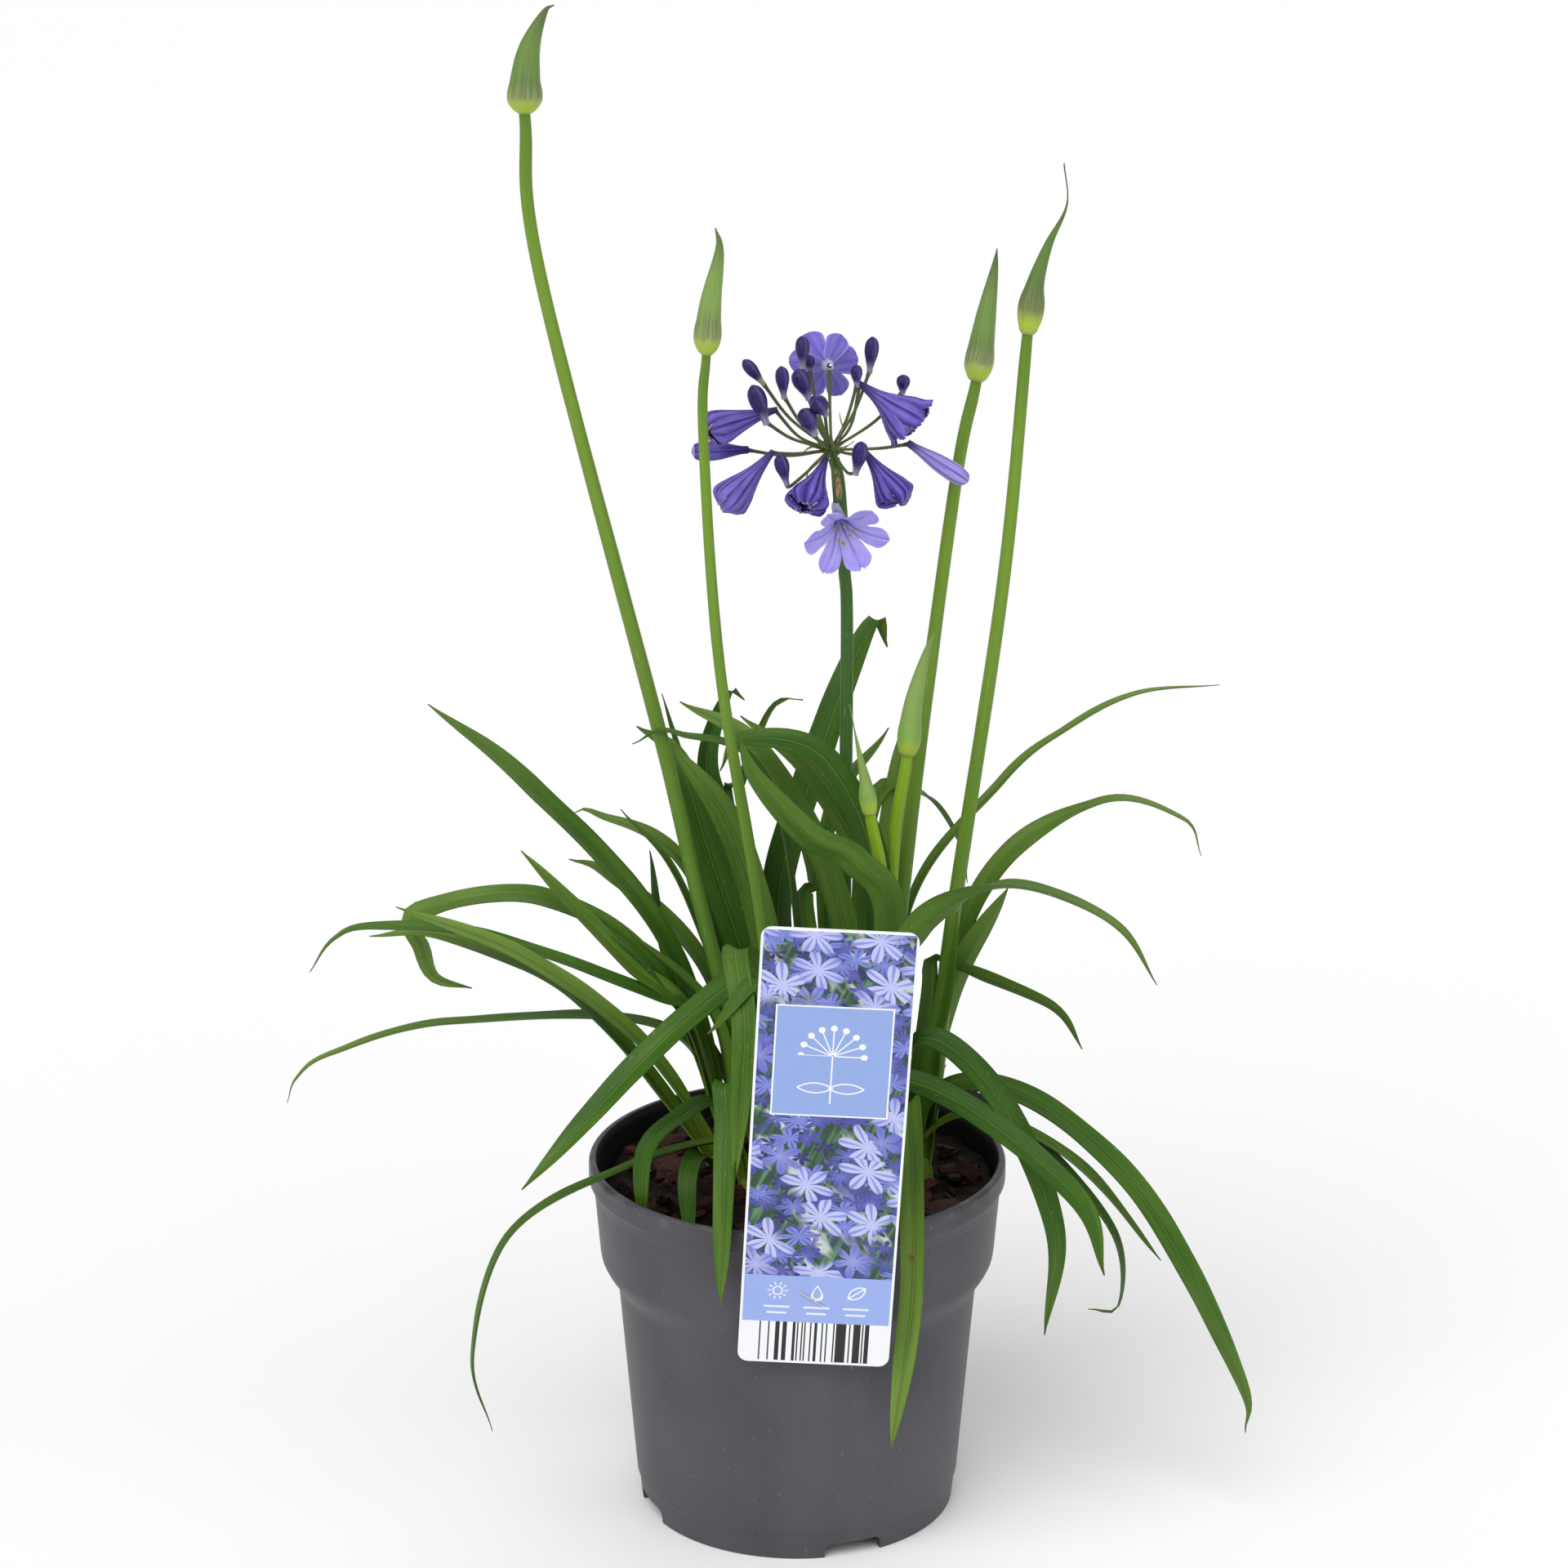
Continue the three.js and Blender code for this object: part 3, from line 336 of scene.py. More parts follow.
@dataclass(frozen=True)
class StalkFinish:
    """Smooth waxy stalk, brighter where it is young, with faint ribs and pale flecks."""

    ripe: Colour = (0.064, 0.152, 0.014)
    light: Colour = (0.158, 0.28, 0.02)
    young: Colour = (0.235, 0.39, 0.005)
    dark: Colour = (0.029, 0.098, 0.012)
    fleck: Colour = (0.36, 0.45, 0.19)
    cork: Colour = (0.48, 0.3, 0.17)
    scar_low: float = 0.3445
    scar_high: float = 0.3565

    def material(self) -> Material:
        """Builds the stalk material; tone 0 is the darkest stalk and 1 the youngest.

        Returns:
            The material.
        """
        coat = Coat("stalk green", Specular_IOR_Level=0.32)
        turn_x, turn_y, along, share, tone = coat.marks("turn_x", "turn_y", "along", "share", "tone")
        rib = coat.grain((turn_x * 4.2, turn_y * 4.2, along * 0.01 + tone * 9))
        cloud = coat.grain((turn_x * 0.6, turn_y * 0.6, along * 0.02 + tone * 5), 1.5, 3.0)
        mature = coat.mix((share + cloud * 0.5 - 0.25).rise(0.0, 0.9), self.ripe, self.light)
        base = coat.layered(mature, [
            (tone.rise(0.35, 0.0), self.dark),
            (tone.rise(0.65, 1.0) * 0.85, self.young),
            (rib.rise(0.5, 0.75) * 0.22, self.light),
            (rib.rise(0.5, 0.3) * 0.28, self.ripe),
            (share.rise(0.86, 1.0) * tone.rise(0.8, 0.6) * 0.45, self.ripe),
        ])
        flecks = coat.grain((turn_x * 5, turn_y * 5, along * 0.16 + tone * 31), 1.2, 1.0)
        x, y, z = coat.parts(coat.spot())
        patch = z.rise(self.scar_low, self.scar_low + 0.003) * z.rise(self.scar_high, self.scar_high - 0.003)
        crust = coat.grain((x, y, z * 0.35), 1500.0, 2.0)
        ragged = (turn_y * -0.87 - turn_x * 0.5 + (crust - 0.5) * 0.5).rise(0.7, 0.84)
        scar = tone.rise(0.12, 0.05) * patch * ragged
        base = coat.layered(base, [
            (flecks.rise(0.72, 0.77) * 0.5, self.fleck),
            (along.rise(26.0, 0.0) * 0.7, self.young),
            (scar, self.cork),
            (scar * crust.rise(0.52, 0.44) * 0.85, self.dark),
        ])
        rough = 0.42 + rib * 0.1 + scar * 0.35
        return coat.dress(base, rough, rib + scar * crust, 0.2)


@dataclass(frozen=True)
class SpatheFinish:
    """Sheath of a flower bud: yellow-green foot, grey-violet stripes on an old one's bulge, green above."""

    foot: Colour = (0.37, 0.49, 0.042)
    pale: Colour = (0.29, 0.365, 0.12)
    murky: Colour = (0.15, 0.215, 0.055)
    young: Colour = (0.2, 0.36, 0.07)
    stripe: Colour = (0.092, 0.086, 0.058)
    green: Colour = (0.096, 0.19, 0.03)
    light: Colour = (0.22, 0.35, 0.075)
    tail: Colour = (0.082, 0.118, 0.034)
    stripes: float = 7.5

    def material(self) -> Material:
        """Builds the sheath material.

        Returns:
            The material.
        """
        coat = Coat("spathe", Specular_IOR_Level=0.45)
        turn_x, turn_y, share, along, tone, seam = coat.marks("turn_x", "turn_y", "share", "along", "tone", "seam")
        line = coat.grain((turn_x * self.stripes, turn_y * self.stripes, along * 0.045 + tone * 13), 1.0, 3.0, 0.6)
        broad = coat.grain((turn_x * 1.4, turn_y * 1.4, along * 0.06 + tone * 7))
        edge = share + (line - 0.5) * 0.1 + (broad - 0.5) * 0.06
        old = tone.rise(1.45, 1.05)
        band = edge.rise(0.1, 0.15) * edge.rise(0.42, 0.22) * old
        green, pale = coat.mix(tone, self.green, self.light), coat.mix(tone / 0.4, self.murky, self.pale)
        base = coat.mix(edge.rise(0.14, 0.3), coat.mix(old, self.young, pale), green)
        base = coat.layered(base, [
            (band * line.rise(0.62, 0.38) * 0.62, self.stripe),
            (line.rise(0.44, 0.28) * 0.35 * edge.rise(0.15, 0.4) * old, self.stripe),
            (line.rise(0.54, 0.72) * (0.15 + tone * 0.35) * old, pale),
            (share.rise(0.55, 1.0) * (0.25 + old * 0.5), self.tail),
            (edge.rise(0.17, 0.06), self.foot),
            (share.rise(0.03, 0.015) * 0.6, self.pale),
        ])
        base = coat.mix(seam * 0.6 * old, base, self.stripe)
        height = line - seam * 0.8
        return coat.dress(base, 0.44 + broad * 0.12, height, 0.22)


class Bloom(Enum):
    """How far a flower has come: the middle, light and dark colours of its tepals, and their gloss."""

    TRUMPET = ((0.052, 0.025, 0.265), (0.24, 0.18, 0.68), (0.01, 0.002, 0.08), 0.28)
    OPEN = ((0.235, 0.188, 0.69), (0.42, 0.37, 0.9), (0.085, 0.048, 0.39), 0.2)


@dataclass(frozen=True)
class TepalFinish:
    """Soft tepals with a dark midrib, fine veins, a pale throat and slightly dried margins."""

    bloom: Bloom
    throat: Colour = (0.72, 0.71, 0.93)
    foot: Colour = (0.035, 0.02, 0.11)
    back: Colour = (0.095, 0.075, 0.34)
    dried: Colour = (0.56, 0.49, 0.58)
    painted_sheen: Colour = (0.48, 0.41, 0.9)

    def material(self) -> Material:
        """Builds the tepal material of one stage of bloom; tone 2 marks a bud about to open, paler in its own colour
        and with a painted whitish sheen laid over it.

        Returns:
            The material.
        """
        body, light, dark, shine = self.bloom.value
        coat = Coat(
            f"tepal {self.bloom.name.lower()}",
            Specular_IOR_Level=0.28,
            Subsurface_Weight=0.25,
            Subsurface_Radius=(0.6, 0.5, 1.0),
            Subsurface_Scale=0.0012,
        )
        across, along, under, share = coat.marks("across", "along", "under", "share")
        turn_x, turn_y, tone, seam = coat.marks("turn_x", "turn_y", "tone", "seam")
        shut = (turn_x * turn_x + turn_y * turn_y).rise(0.2, 0.8)
        veined = coat.vector(across * 5.5 + turn_x * 3.0, along * 0.05 + turn_y * 3.0, tone * 51)
        vein = coat.grain(veined, 1.0, 3.0, 0.6)
        cloud = coat.grain((across * 1.1, along * 0.12, tone * 17))
        side = abs(across)
        rib = side.rise(0.15, 0.02) * (1 - shut)
        is_open = float(self.bloom is Bloom.OPEN)
        base = coat.mix((cloud + tone * 0.5 - 0.3).rise(0.0, 0.9), body, light)
        base = coat.layered(base, [
            (vein.rise(0.52, 0.72) * 0.55, light),
            (vein.rise(0.46, 0.28) * 0.65, dark),
            # painted highlight on each tepal's ridges beside the midrib, and on trumpets painted shade in the valleys
            # at its edges
            (side.rise(0.1, 0.24) * side.rise(0.66, 0.36) * 0.4, light),
            (side.rise(0.58, 0.96) * (1 - is_open) * 0.7, dark),
            (rib * share.rise(0.05, 0.35) * share.rise(1.02, 0.7) * (0.75 - is_open * 0.35), dark),
        ])
        if self.bloom is Bloom.OPEN:
            line = coat.grain((across * 9, 0.0, tone * 33), 1.0, 1.0).rise(0.52, 0.62)
            base = coat.layered(base, [
                (under * (1 - vein * 0.6) * 0.9, self.back),
                (side.rise(0.72, 1.0) * 0.45, light),
                ((1 - under) * share.rise(0.86, 0.4) * (1 - rib) * (0.25 + line * 0.7), self.throat),
                (under * share.rise(0.34, 0.12) * 0.6, self.throat),
            ])
        else:
            base = coat.layered(base, [
                # tone 2: the bud's paler colour and a painted whitish sheen, in one layer
                (tone.rise(1.4, 1.6) * (0.35 + vein.rise(0.38, 0.6) * 0.5), self.painted_sheen),
                (shut * seam * 0.75, dark),
                (share.rise(0.24, 0.02) * 0.85, self.foot),
            ])
            worn = coat.grain((across * 4, along * 0.8, tone * 71), 1.0, 3.0)
            rim = share.rise(0.92, 1.0).high(side.rise(0.84, 1.0) * share.rise(0.55, 0.8))
            base = coat.mix(rim * worn.rise(0.46, 0.6) * 0.75, base, self.dried)
        height = vein * 0.8 + rib * 0.6
        rough = 0.62 - shine * 0.5 + vein * 0.15
        return coat.dress(base, rough, height, 0.2)


@dataclass(frozen=True)
class FloretBudFinish:
    """Small closed bud: indigo above, washed out to its pale foot, with faint seams."""

    top: Colour = (0.011, 0.0035, 0.06)
    flush: Colour = (0.036, 0.017, 0.175)
    foot: Colour = (0.27, 0.26, 0.37)
    seam: Colour = (0.16, 0.135, 0.36)
    withered: Colour = (0.42, 0.36, 0.22)

    def material(self) -> Material:
        """Builds the bud material; tone above one half marks a withered foot.

        Returns:
            The material.
        """
        coat = Coat("floret bud", Specular_IOR_Level=0.32)
        turn_x, turn_y, share, tone, seam = coat.marks("turn_x", "turn_y", "share", "tone", "seam")
        streak = coat.grain((turn_x * 2.6, turn_y * 2.6, share * 0.6 + tone * 37), 1.3, 3.0, 0.6)
        base = coat.mix(streak.rise(0.36, 0.7), self.top, self.flush)
        pale = (share + (streak - 0.5) * 0.5).rise(0.4, 0.06)
        base = coat.layered(base, [
            (pale, self.foot),
            (seam * share.rise(0.15, 0.5) * 0.45, self.seam),
            (tone.rise(0.5, 0.6) * share.rise(0.3, 0.18), self.withered),
        ])
        height = streak * 0.5 - seam
        return coat.dress(base, 0.4 + streak * 0.12, height, 0.18)


@dataclass(frozen=True)
class PedicelFinish:
    """Thin green flower stalk, flushed dull violet towards the flower."""

    green: Colour = (0.088, 0.13, 0.034)
    flush: Colour = (0.048, 0.044, 0.034)

    def material(self) -> Material:
        """Builds the pedicel material.

        Returns:
            The material.
        """
        coat = Coat("pedicel", Specular_IOR_Level=0.4)
        share, tone, along = coat.marks("share", "tone", "along")
        cloud = coat.grain((tone * 20, along * 0.3))
        base = coat.mix((share * 0.9 + cloud * 0.6 - 0.35).rise(0.3, 1.0) * 0.75, self.green, self.flush)
        return coat.dress(base, 0.45 + cloud * 0.15, cloud, 0.1)


@dataclass(frozen=True)
class SpeckledFinish:
    """A plain small finish that varies between two colours over the object's own place."""

    name: str
    first: Colour
    second: Colour
    scale: float = 900.0
    roughness: float = 0.6
    depth: float = 0.1
    metallic: float = 0.0

    def material(self) -> Material:
        """Builds the material.

        Returns:
            The material.
        """
        coat = Coat(self.name, Metallic=self.metallic)
        cloud = coat.grain(coat.spot(), self.scale, 3.0)
        base = coat.mix(cloud.rise(0.35, 0.65), self.first, self.second)
        rough = self.roughness + (cloud - 0.5) * 0.2
        return coat.dress(base, rough, cloud, self.depth)


@dataclass(frozen=True)
class PotFinish:
    """Dark blue-grey moulded plastic, satin, with flow lines, fine scuffs and dust; the inner wall above the compost
    is painted near black as shade.
    """

    grey: Colour = (0.064, 0.062, 0.071)
    cool: Colour = (0.088, 0.086, 0.101)
    scuff: Colour = (0.17, 0.168, 0.18)
    soil: Colour = (0.06, 0.042, 0.03)
    painted_inner_shade: Colour = (0.012, 0.011, 0.012)

    def material(self) -> Material:
        """Builds the pot material.

        Returns:
            The material.
        """
        coat = Coat("pot plastic", Specular_IOR_Level=0.2)
        spot = coat.spot()
        x, y, z = coat.parts(spot)
        flow = coat.grain((x, y, z * 0.12), 60.0, 4.0, 0.6)
        cloud = coat.grain(spot, 22.0)
        scratch = coat.grain((x + z * 0.8, y, z * 0.1 - x * 0.4), 420.0, 2.0, 0.7)
        worn = scratch.rise(0.665, 0.7) * coat.grain(spot, 75.0, 1.0).rise(0.52, 0.66)
        dust = coat.grain(spot, 620.0, 1.0).rise(0.735, 0.775)
        rim = z.rise(0.1195, 0.1236)
        # inner: the inside of the wall above the compost, laid near black as painted shade
        inner = ((x * x + y * y).root() - z * 0.073).rise(0.0596, 0.059) * z.rise(0.1, 0.102)
        base = coat.mix((flow * 0.5 + cloud * 0.7).rise(0.35, 0.85), self.grey, self.cool)
        base = coat.layered(base, [
            (worn * 0.45, self.scuff),
            (dust * 0.55, self.scuff),
            (rim * coat.grain(spot, 160.0, 3.0).rise(0.45, 0.65) * 0.35, self.scuff),
            (z.rise(0.016, 0.0) * cloud.rise(0.4, 0.7) * 0.35, self.soil),
            (inner * 0.95, self.painted_inner_shade),
        ])
        rough = 0.38 + flow * 0.12 + worn * 0.2 + dust * 0.2
        fine = coat.grain(spot, 1300.0)
        return coat.dress(base, rough, fine * 0.4 + flow * 0.6, 0.06)


@dataclass(frozen=True)
class CompostFinish:
    """Damp, nearly black compost with brown crumbs and a few pale grains."""

    black: Colour = (0.0065, 0.0042, 0.0032)
    brown: Colour = (0.03, 0.014, 0.0085)
    grain: Colour = (0.26, 0.22, 0.17)

    def material(self) -> Material:
        """Builds the compost material.

        Returns:
            The material.
        """
        coat = Coat("compost", Specular_IOR_Level=0.15)
        spot = coat.spot()
        lumps = coat.grain(spot, 260.0, 5.0, 0.65)
        crumbs = coat.grain(spot, 900.0, 3.0, 0.6)
        base = coat.mix((lumps * 0.6 + crumbs * 0.5).rise(0.45, 0.75), self.black, self.brown)
        base = coat.mix(coat.grain(spot, 700.0, 1.0).rise(0.76, 0.79) * 0.7, base, self.grain)
        rough = 0.95 - lumps * 0.35
        return coat.dress(base, rough, lumps + crumbs * 0.4, 1.4)


@dataclass(frozen=True)
class BarkFinish:
    """Red-brown bark with a fibrous grain, lighter where it split."""

    dark: Colour = (0.006, 0.003, 0.0025)
    red: Colour = (0.056, 0.017, 0.01)
    split: Colour = (0.11, 0.06, 0.038)
    pale: Colour = (0.34, 0.3, 0.26)

    def material(self) -> Material:
        """Builds the bark material from each chip's own axes.

        Returns:
            The material.
        """
        coat = Coat("bark", Specular_IOR_Level=0.25)
        grain_x, grain_y, grain_z, tone = coat.marks("chip_x", "chip_y", "chip_z", "tone")
        fibre = coat.grain((grain_x * 0.16, grain_y * 1.1, grain_z * 1.1 + tone * 30), 1.0, 4.0, 0.65)
        lump = coat.grain((grain_x * 0.3, grain_y * 0.3, grain_z * 0.3 + tone * 11))
        base = coat.mix((lump * 0.6 + tone * 0.7 - 0.05).rise(0.1, 0.95), self.dark, self.red)
        base = coat.layered(base, [
            (fibre.rise(0.45, 0.28) * 0.7, self.dark),
            (fibre.rise(0.6, 0.8) * 0.4, self.split),
            (coat.grain(coat.spot(), 900.0, 1.0).rise(0.74, 0.77) * 0.6, self.pale),
        ])
        return coat.dress(base, 0.62 + fibre * 0.3, fibre + lump, 0.9)


# the label's print

@dataclass(frozen=True)
class LabelPrint:
    """The card's face in card millimetres: star flowers, a plaque with a sprig, a band of signs and bars."""

    width: float = 49.3
    length: float = 158.6
    border: float = 0.8
    plaque: tuple[float, float, float, float] = (24.6, 112.0, 18.4, 19.5)
    band: tuple[float, float] = (15.6, 33.0)
    bars: tuple[float, float] = (6.2, 44.0)
    module: float = 0.47
    signs: tuple[float, float, float] = (11.8, 24.6, 37.4)
    sign_height: float = 27.3
    blue: Colour = (0.3, 0.405, 0.77)
    plaque_blue: Colour = (0.27, 0.38, 0.72)
    white: Colour = (0.85, 0.86, 0.88)
    black: Colour = (0.01, 0.01, 0.012)

    def material(self) -> Material:
        """Builds the printed face.

        Returns:
            The material.
        """
        coat = Coat("label print", Specular_IOR_Level=0.5, Coat_Roughness=0.12)
        x, y = coat.marks("card_x", "card_y")
        low, high = self.band
        picture = self._picture(coat, x, y)
        band = self._between(y, low, high)
        bars = self._between(x, *self.bars) * (1 - self._between(y, low, self.length))
        cell = coat.value("ShaderNodeTexWhiteNoise", {"noise_dimensions": "1D"}, {"W": (x / self.module).whole() + 5})
        centre_x, centre_y, half_x, half_y = self.plaque
        frame_x, frame_y = abs(x - centre_x) - half_x, abs(y - centre_y) - half_y
        rim = frame_x.high(frame_y)
        edge = (abs(x - self.width / 2) - self.width / 2).high(abs(y - self.length / 2) - self.length / 2)
        face = coat.layered(picture, [
            (rim.rise(0.1, 0.0), self.plaque_blue),
            (abs(rim).rise(0.32, 0.22), self.white),
            (self._sprig(x - centre_x, y - centre_y + 1), self.white),
            (band, self.blue),
            (self._signs(x, y) * band, self.white),
            (1 - self._between(y, low, self.length + 1), self.white),
            (bars * (cell > 0.52), self.black),
            (edge.rise(-self.border - 0.1, -self.border), self.white),
        ])
        spot = coat.spot()
        smear = coat.grain(spot, 210.0, 3.0)
        return coat.dress(face, 0.24 + smear * 0.14, coat.grain(spot, 60.0), 0.5)

    def _between(self, value: Field, low: float, high: float) -> Field:
        """One between two numbers."""
        return (value > low) * (value < high)

    def _star(
        self, coat: Coat, x: Field, y: Field, size: float, squash: float, lean: float
    ) -> tuple[Field, Field, Field]:
        """Six-petalled stars, one round each point of a loose scatter.

        Args:
            coat: the print's coat.
            x: card place across.
            y: card place up.
            size: how far apart the stars are.
            squash: how much lower than wide a star is.
            lean: how far the scatter leans sideways.

        Returns:
            The petals' mask, a petal's midrib and the star's own tint.
        """
        place = coat.vector(x / size + y * lean, y / (size * squash), 3.7 * squash)
        settings = {"voronoi_dimensions": "2D", "feature": "F1"}
        cell = coat.node("ShaderNodeTexVoronoi", settings, {"Vector": place, "Scale": 1.0, "Randomness": 0.85})
        ends = {0: place, 1: cell.outputs["Position"]}
        away = coat.value("ShaderNodeVectorMath", {"operation": "SUBTRACT"}, ends)
        away_x, away_y, _ = coat.parts(away)
        tint, spin, _ = coat.parts(Field(coat, cell.outputs["Color"]))
        angle = away_y.bearing(away_x) * 3 + spin * 6
        lobe = abs(angle.wave())
        reach = (away_x * away_x + away_y * away_y).root()
        petals = (reach - (lobe ** 0.8) * (0.4 + tint * 0.16)).rise(0.025, -0.02)
        rib = lobe.rise(0.955, 0.995) * reach.rise(0.06, 0.16)
        return petals, rib, tint + (0.45 - reach) * 0.6

    def _rays(self, x: Field, y: Field, step: float) -> tuple[Field, Field, Field]:
        """Measures a place against rays that spread from a centre.

        Args:
            x: how far right of the centre it is.
            y: how far above the centre it is.
            step: the angle from ray to ray.

        Returns:
            How far away it is, its bearing in rays, and how far it is from the nearest ray.
        """
        reach = (x * x + y * y).root()
        turn = y.bearing(x) / step
        return reach, turn, abs(turn - (turn + 0.5).whole()) * reach * step

    def _picture(self, coat: Coat, x: Field, y: Field) -> Field:
        """Blue and lilac stars over blurred foliage.

        Args:
            coat: the finish's coat.
            x: the place across the card.
            y: the place up the card.

        Returns:
            Its colour.
        """
        spread = coat.grain((x * 0.07, y * 0.05))
        blur = coat.grain((x * 0.16 + y * 0.1, y * 0.07))
        blade = coat.grain((x * 0.55 - y * 0.22, y * 0.06), 1.0, 1.0)
        picture = coat.layered((0.016, 0.055, 0.03), [
            (blade.rise(0.45, 0.7), (0.095, 0.23, 0.11)),
            (blur.rise(0.52, 0.66), (0.56, 0.64, 0.58)),
            (spread.rise(0.46, 0.34) * 0.8, (0.07, 0.075, 0.31)),
        ])
        layers = (
            (9.0, 0.75, 0.03, (0.016, 0.015, 0.13), (0.095, 0.1, 0.4)),
            (13.0, 0.6, -0.02, (0.055, 0.058, 0.33), (0.19, 0.23, 0.65)),
            (17.0, 0.9, 0.012, (0.135, 0.15, 0.54), (0.5, 0.53, 0.85)),
        )
        for number, (size, squash, lean, deep, pale) in enumerate(layers):
            petals, rib, tint = self._star(coat, x + number * 31, y, size, squash, lean)
            keep = coat.grain((x * 0.035, y * 0.035, number * 9.0), 1.0, 1.0).rise(0.34, 0.42)
            colour = coat.mix(tint.rise(0.15, 0.85), deep, pale)
            picture = coat.mix(petals * keep, picture, coat.mix(rib * 0.7, colour, deep))
        return picture

    def _sprig(self, x: Field, y: Field) -> Field:
        """A plain line drawing: a stem, a fan of rays with a dot on each, and two leaves.

        Args:
            x: how far right of the plaque it is.
            y: how far up the plaque it is.

        Returns:
            The lines' mask.
        """
        stem = abs(x).rise(0.3, 0.18) * self._between(y, -14.0, 3.0)
        reach, turn, off = self._rays(x, y - 3.0, pi / 8)
        upper = turn.rise(-0.3, -0.2) * turn.rise(8.3, 8.2)
        rays = off.rise(0.26, 0.16) * self._between(reach, 0.5, 9.0) * upper
        dots = ((reach - 10.0) ** 2 + off * off).root()
        heads = dots.rise(1.15, 1.0) * upper
        leaves = self._leaf(x - 5.0, y + 8.5, 5.5, 9.5).high(self._leaf(x + 5.0, y + 8.5, 5.5, 9.5))
        return stem.high(rays).high(heads).high(leaves)

    def _leaf(self, x: Field, y: Field, half: float, radius: float) -> Field:
        """The outline of a pointed leaf: where two discs cross.

        Args:
            x: how far right of its middle a place is.
            y: how far above its middle it is.
            half: half of its length.
            radius: the discs' radius.

        Returns:
            The line's mask.
        """
        offset = sqrt(radius * radius - half * half)
        lens = [((x * x + (y + side * offset) ** 2).root() - radius) for side in (-1, 1)]
        return abs(lens[0].high(lens[1])).rise(0.3, 0.18)

    def _signs(self, x: Field, y: Field) -> Field:
        """A sun, a drop and a leaf, with two short rules under each.

        Args:
            x: the place across the card.
            y: the place up the card.

        Returns:
            Their mask.
        """
        sun, drop, leaf = self.signs
        lift = y - self.sign_height
        reach, _, off = self._rays(x - sun, lift, pi / 5)
        ring = abs(reach - 1.5).rise(0.28, 0.16)
        rays = off.rise(0.26, 0.16) * self._between(reach, 2.2, 3.3)
        middle = x - drop
        tear = ((middle / (1.95 - (lift + 1.0) * 0.42).high(0.2)) ** 2 * 3.2 + (lift + 0.4) ** 2 * 0.36).root() - 1.5
        tear = abs(tear).rise(0.34, 0.2) * self._between(lift, -3.4, 3.6)
        right = x - leaf
        aside, up = right * 0.8 + lift * 0.6, lift * 0.8 - right * 0.6
        blade = self._leaf(aside, up, 3.3, 3.9)
        vein = abs(up).rise(0.26, 0.16) * (abs(aside) < 3.0)
        signs = ring.high(rays).high(tear).high(blade).high(vein)
        for centre in self.signs:
            for height, half in ((21.3, 4.2), (19.0, 3.2)):
                rule = abs(y - height).rise(0.42, 0.32) * (abs(x - centre) < half)
                signs = signs.high(rule * 0.85)
        return signs


# pieces in the making

MARKS = ("across", "along", "share", "under", "tone", "turn_x", "turn_y", "seam")


class Path:
    """A smooth curve through places, measured by its length."""

    samples = 160

    def __init__(self, places: Sequence[Sequence[float]]) -> None:
        """Lays the curve.

        Args:
            places: the places that it passes, at least two.
        """
        points = [Vector(place) for place in places]
        self.points = [2 * points[0] - points[1], *points, 2 * points[-1] - points[-2]]
        spots = [self._spot(number / self.samples) for number in range(self.samples + 1)]
        self.reach = [0.0]
        for before, after in zip(spots, spots[1:]):
            self.reach.append(self.reach[-1] + (after - before).length)
        self.length = self.reach[-1]

    def _spot(self, pace: float) -> Vector:
        """The place at a pace of 0 to 1, not measured by length.

        Args:
            pace: the pace.

        Returns:
            The place.
        """
        spans = len(self.points) - 3
        span = min(int(pace * spans), spans - 1)
        t = pace * spans - span
        a, b, c, d = self.points[span:span + 4]
        return b + 0.5 * t * ((c - a) + t * (2 * a - 5 * b + 4 * c - d + t * (3 * b - a - 3 * c + d)))

    def at(self, share: float) -> Vector:
        """The place at a share of the length.

        Args:
            share: the share, from 0 to 1.

        Returns:
            The place.
        """
        goal = min(max(share, 0.0), 1.0) * self.length
        low, high = 0, self.samples
        while high - low > 1:
            middle = (low + high) // 2
            low, high = (middle, high) if self.reach[middle] <= goal else (low, middle)
        step = self.reach[high] - self.reach[low]
        within = (goal - self.reach[low]) / step if step > 0 else 0.0
        return self._spot((low + within) / self.samples)

    def frames(self, rows: int, guide: Vector, carried: bool = True) -> list[tuple[Vector, Vector, Vector]]:
        """Even stations with a direction across and one along.

        Args:
            rows: how many steps there are.
            guide: the direction across to keep to.
            carried: whether each station takes the last one's direction across instead.

        Returns:
            The place, the direction across and the direction along of each station.
        """
        stations = []
        for row in range(rows + 1):
            share = row / rows
            along = (self.at(share + 0.004) - self.at(share - 0.004)).normalized()
            across = (guide - along * guide.dot(along)).normalized()
            stations.append((self.at(share), across, along))
            if carried:
                guide = across
        return stations


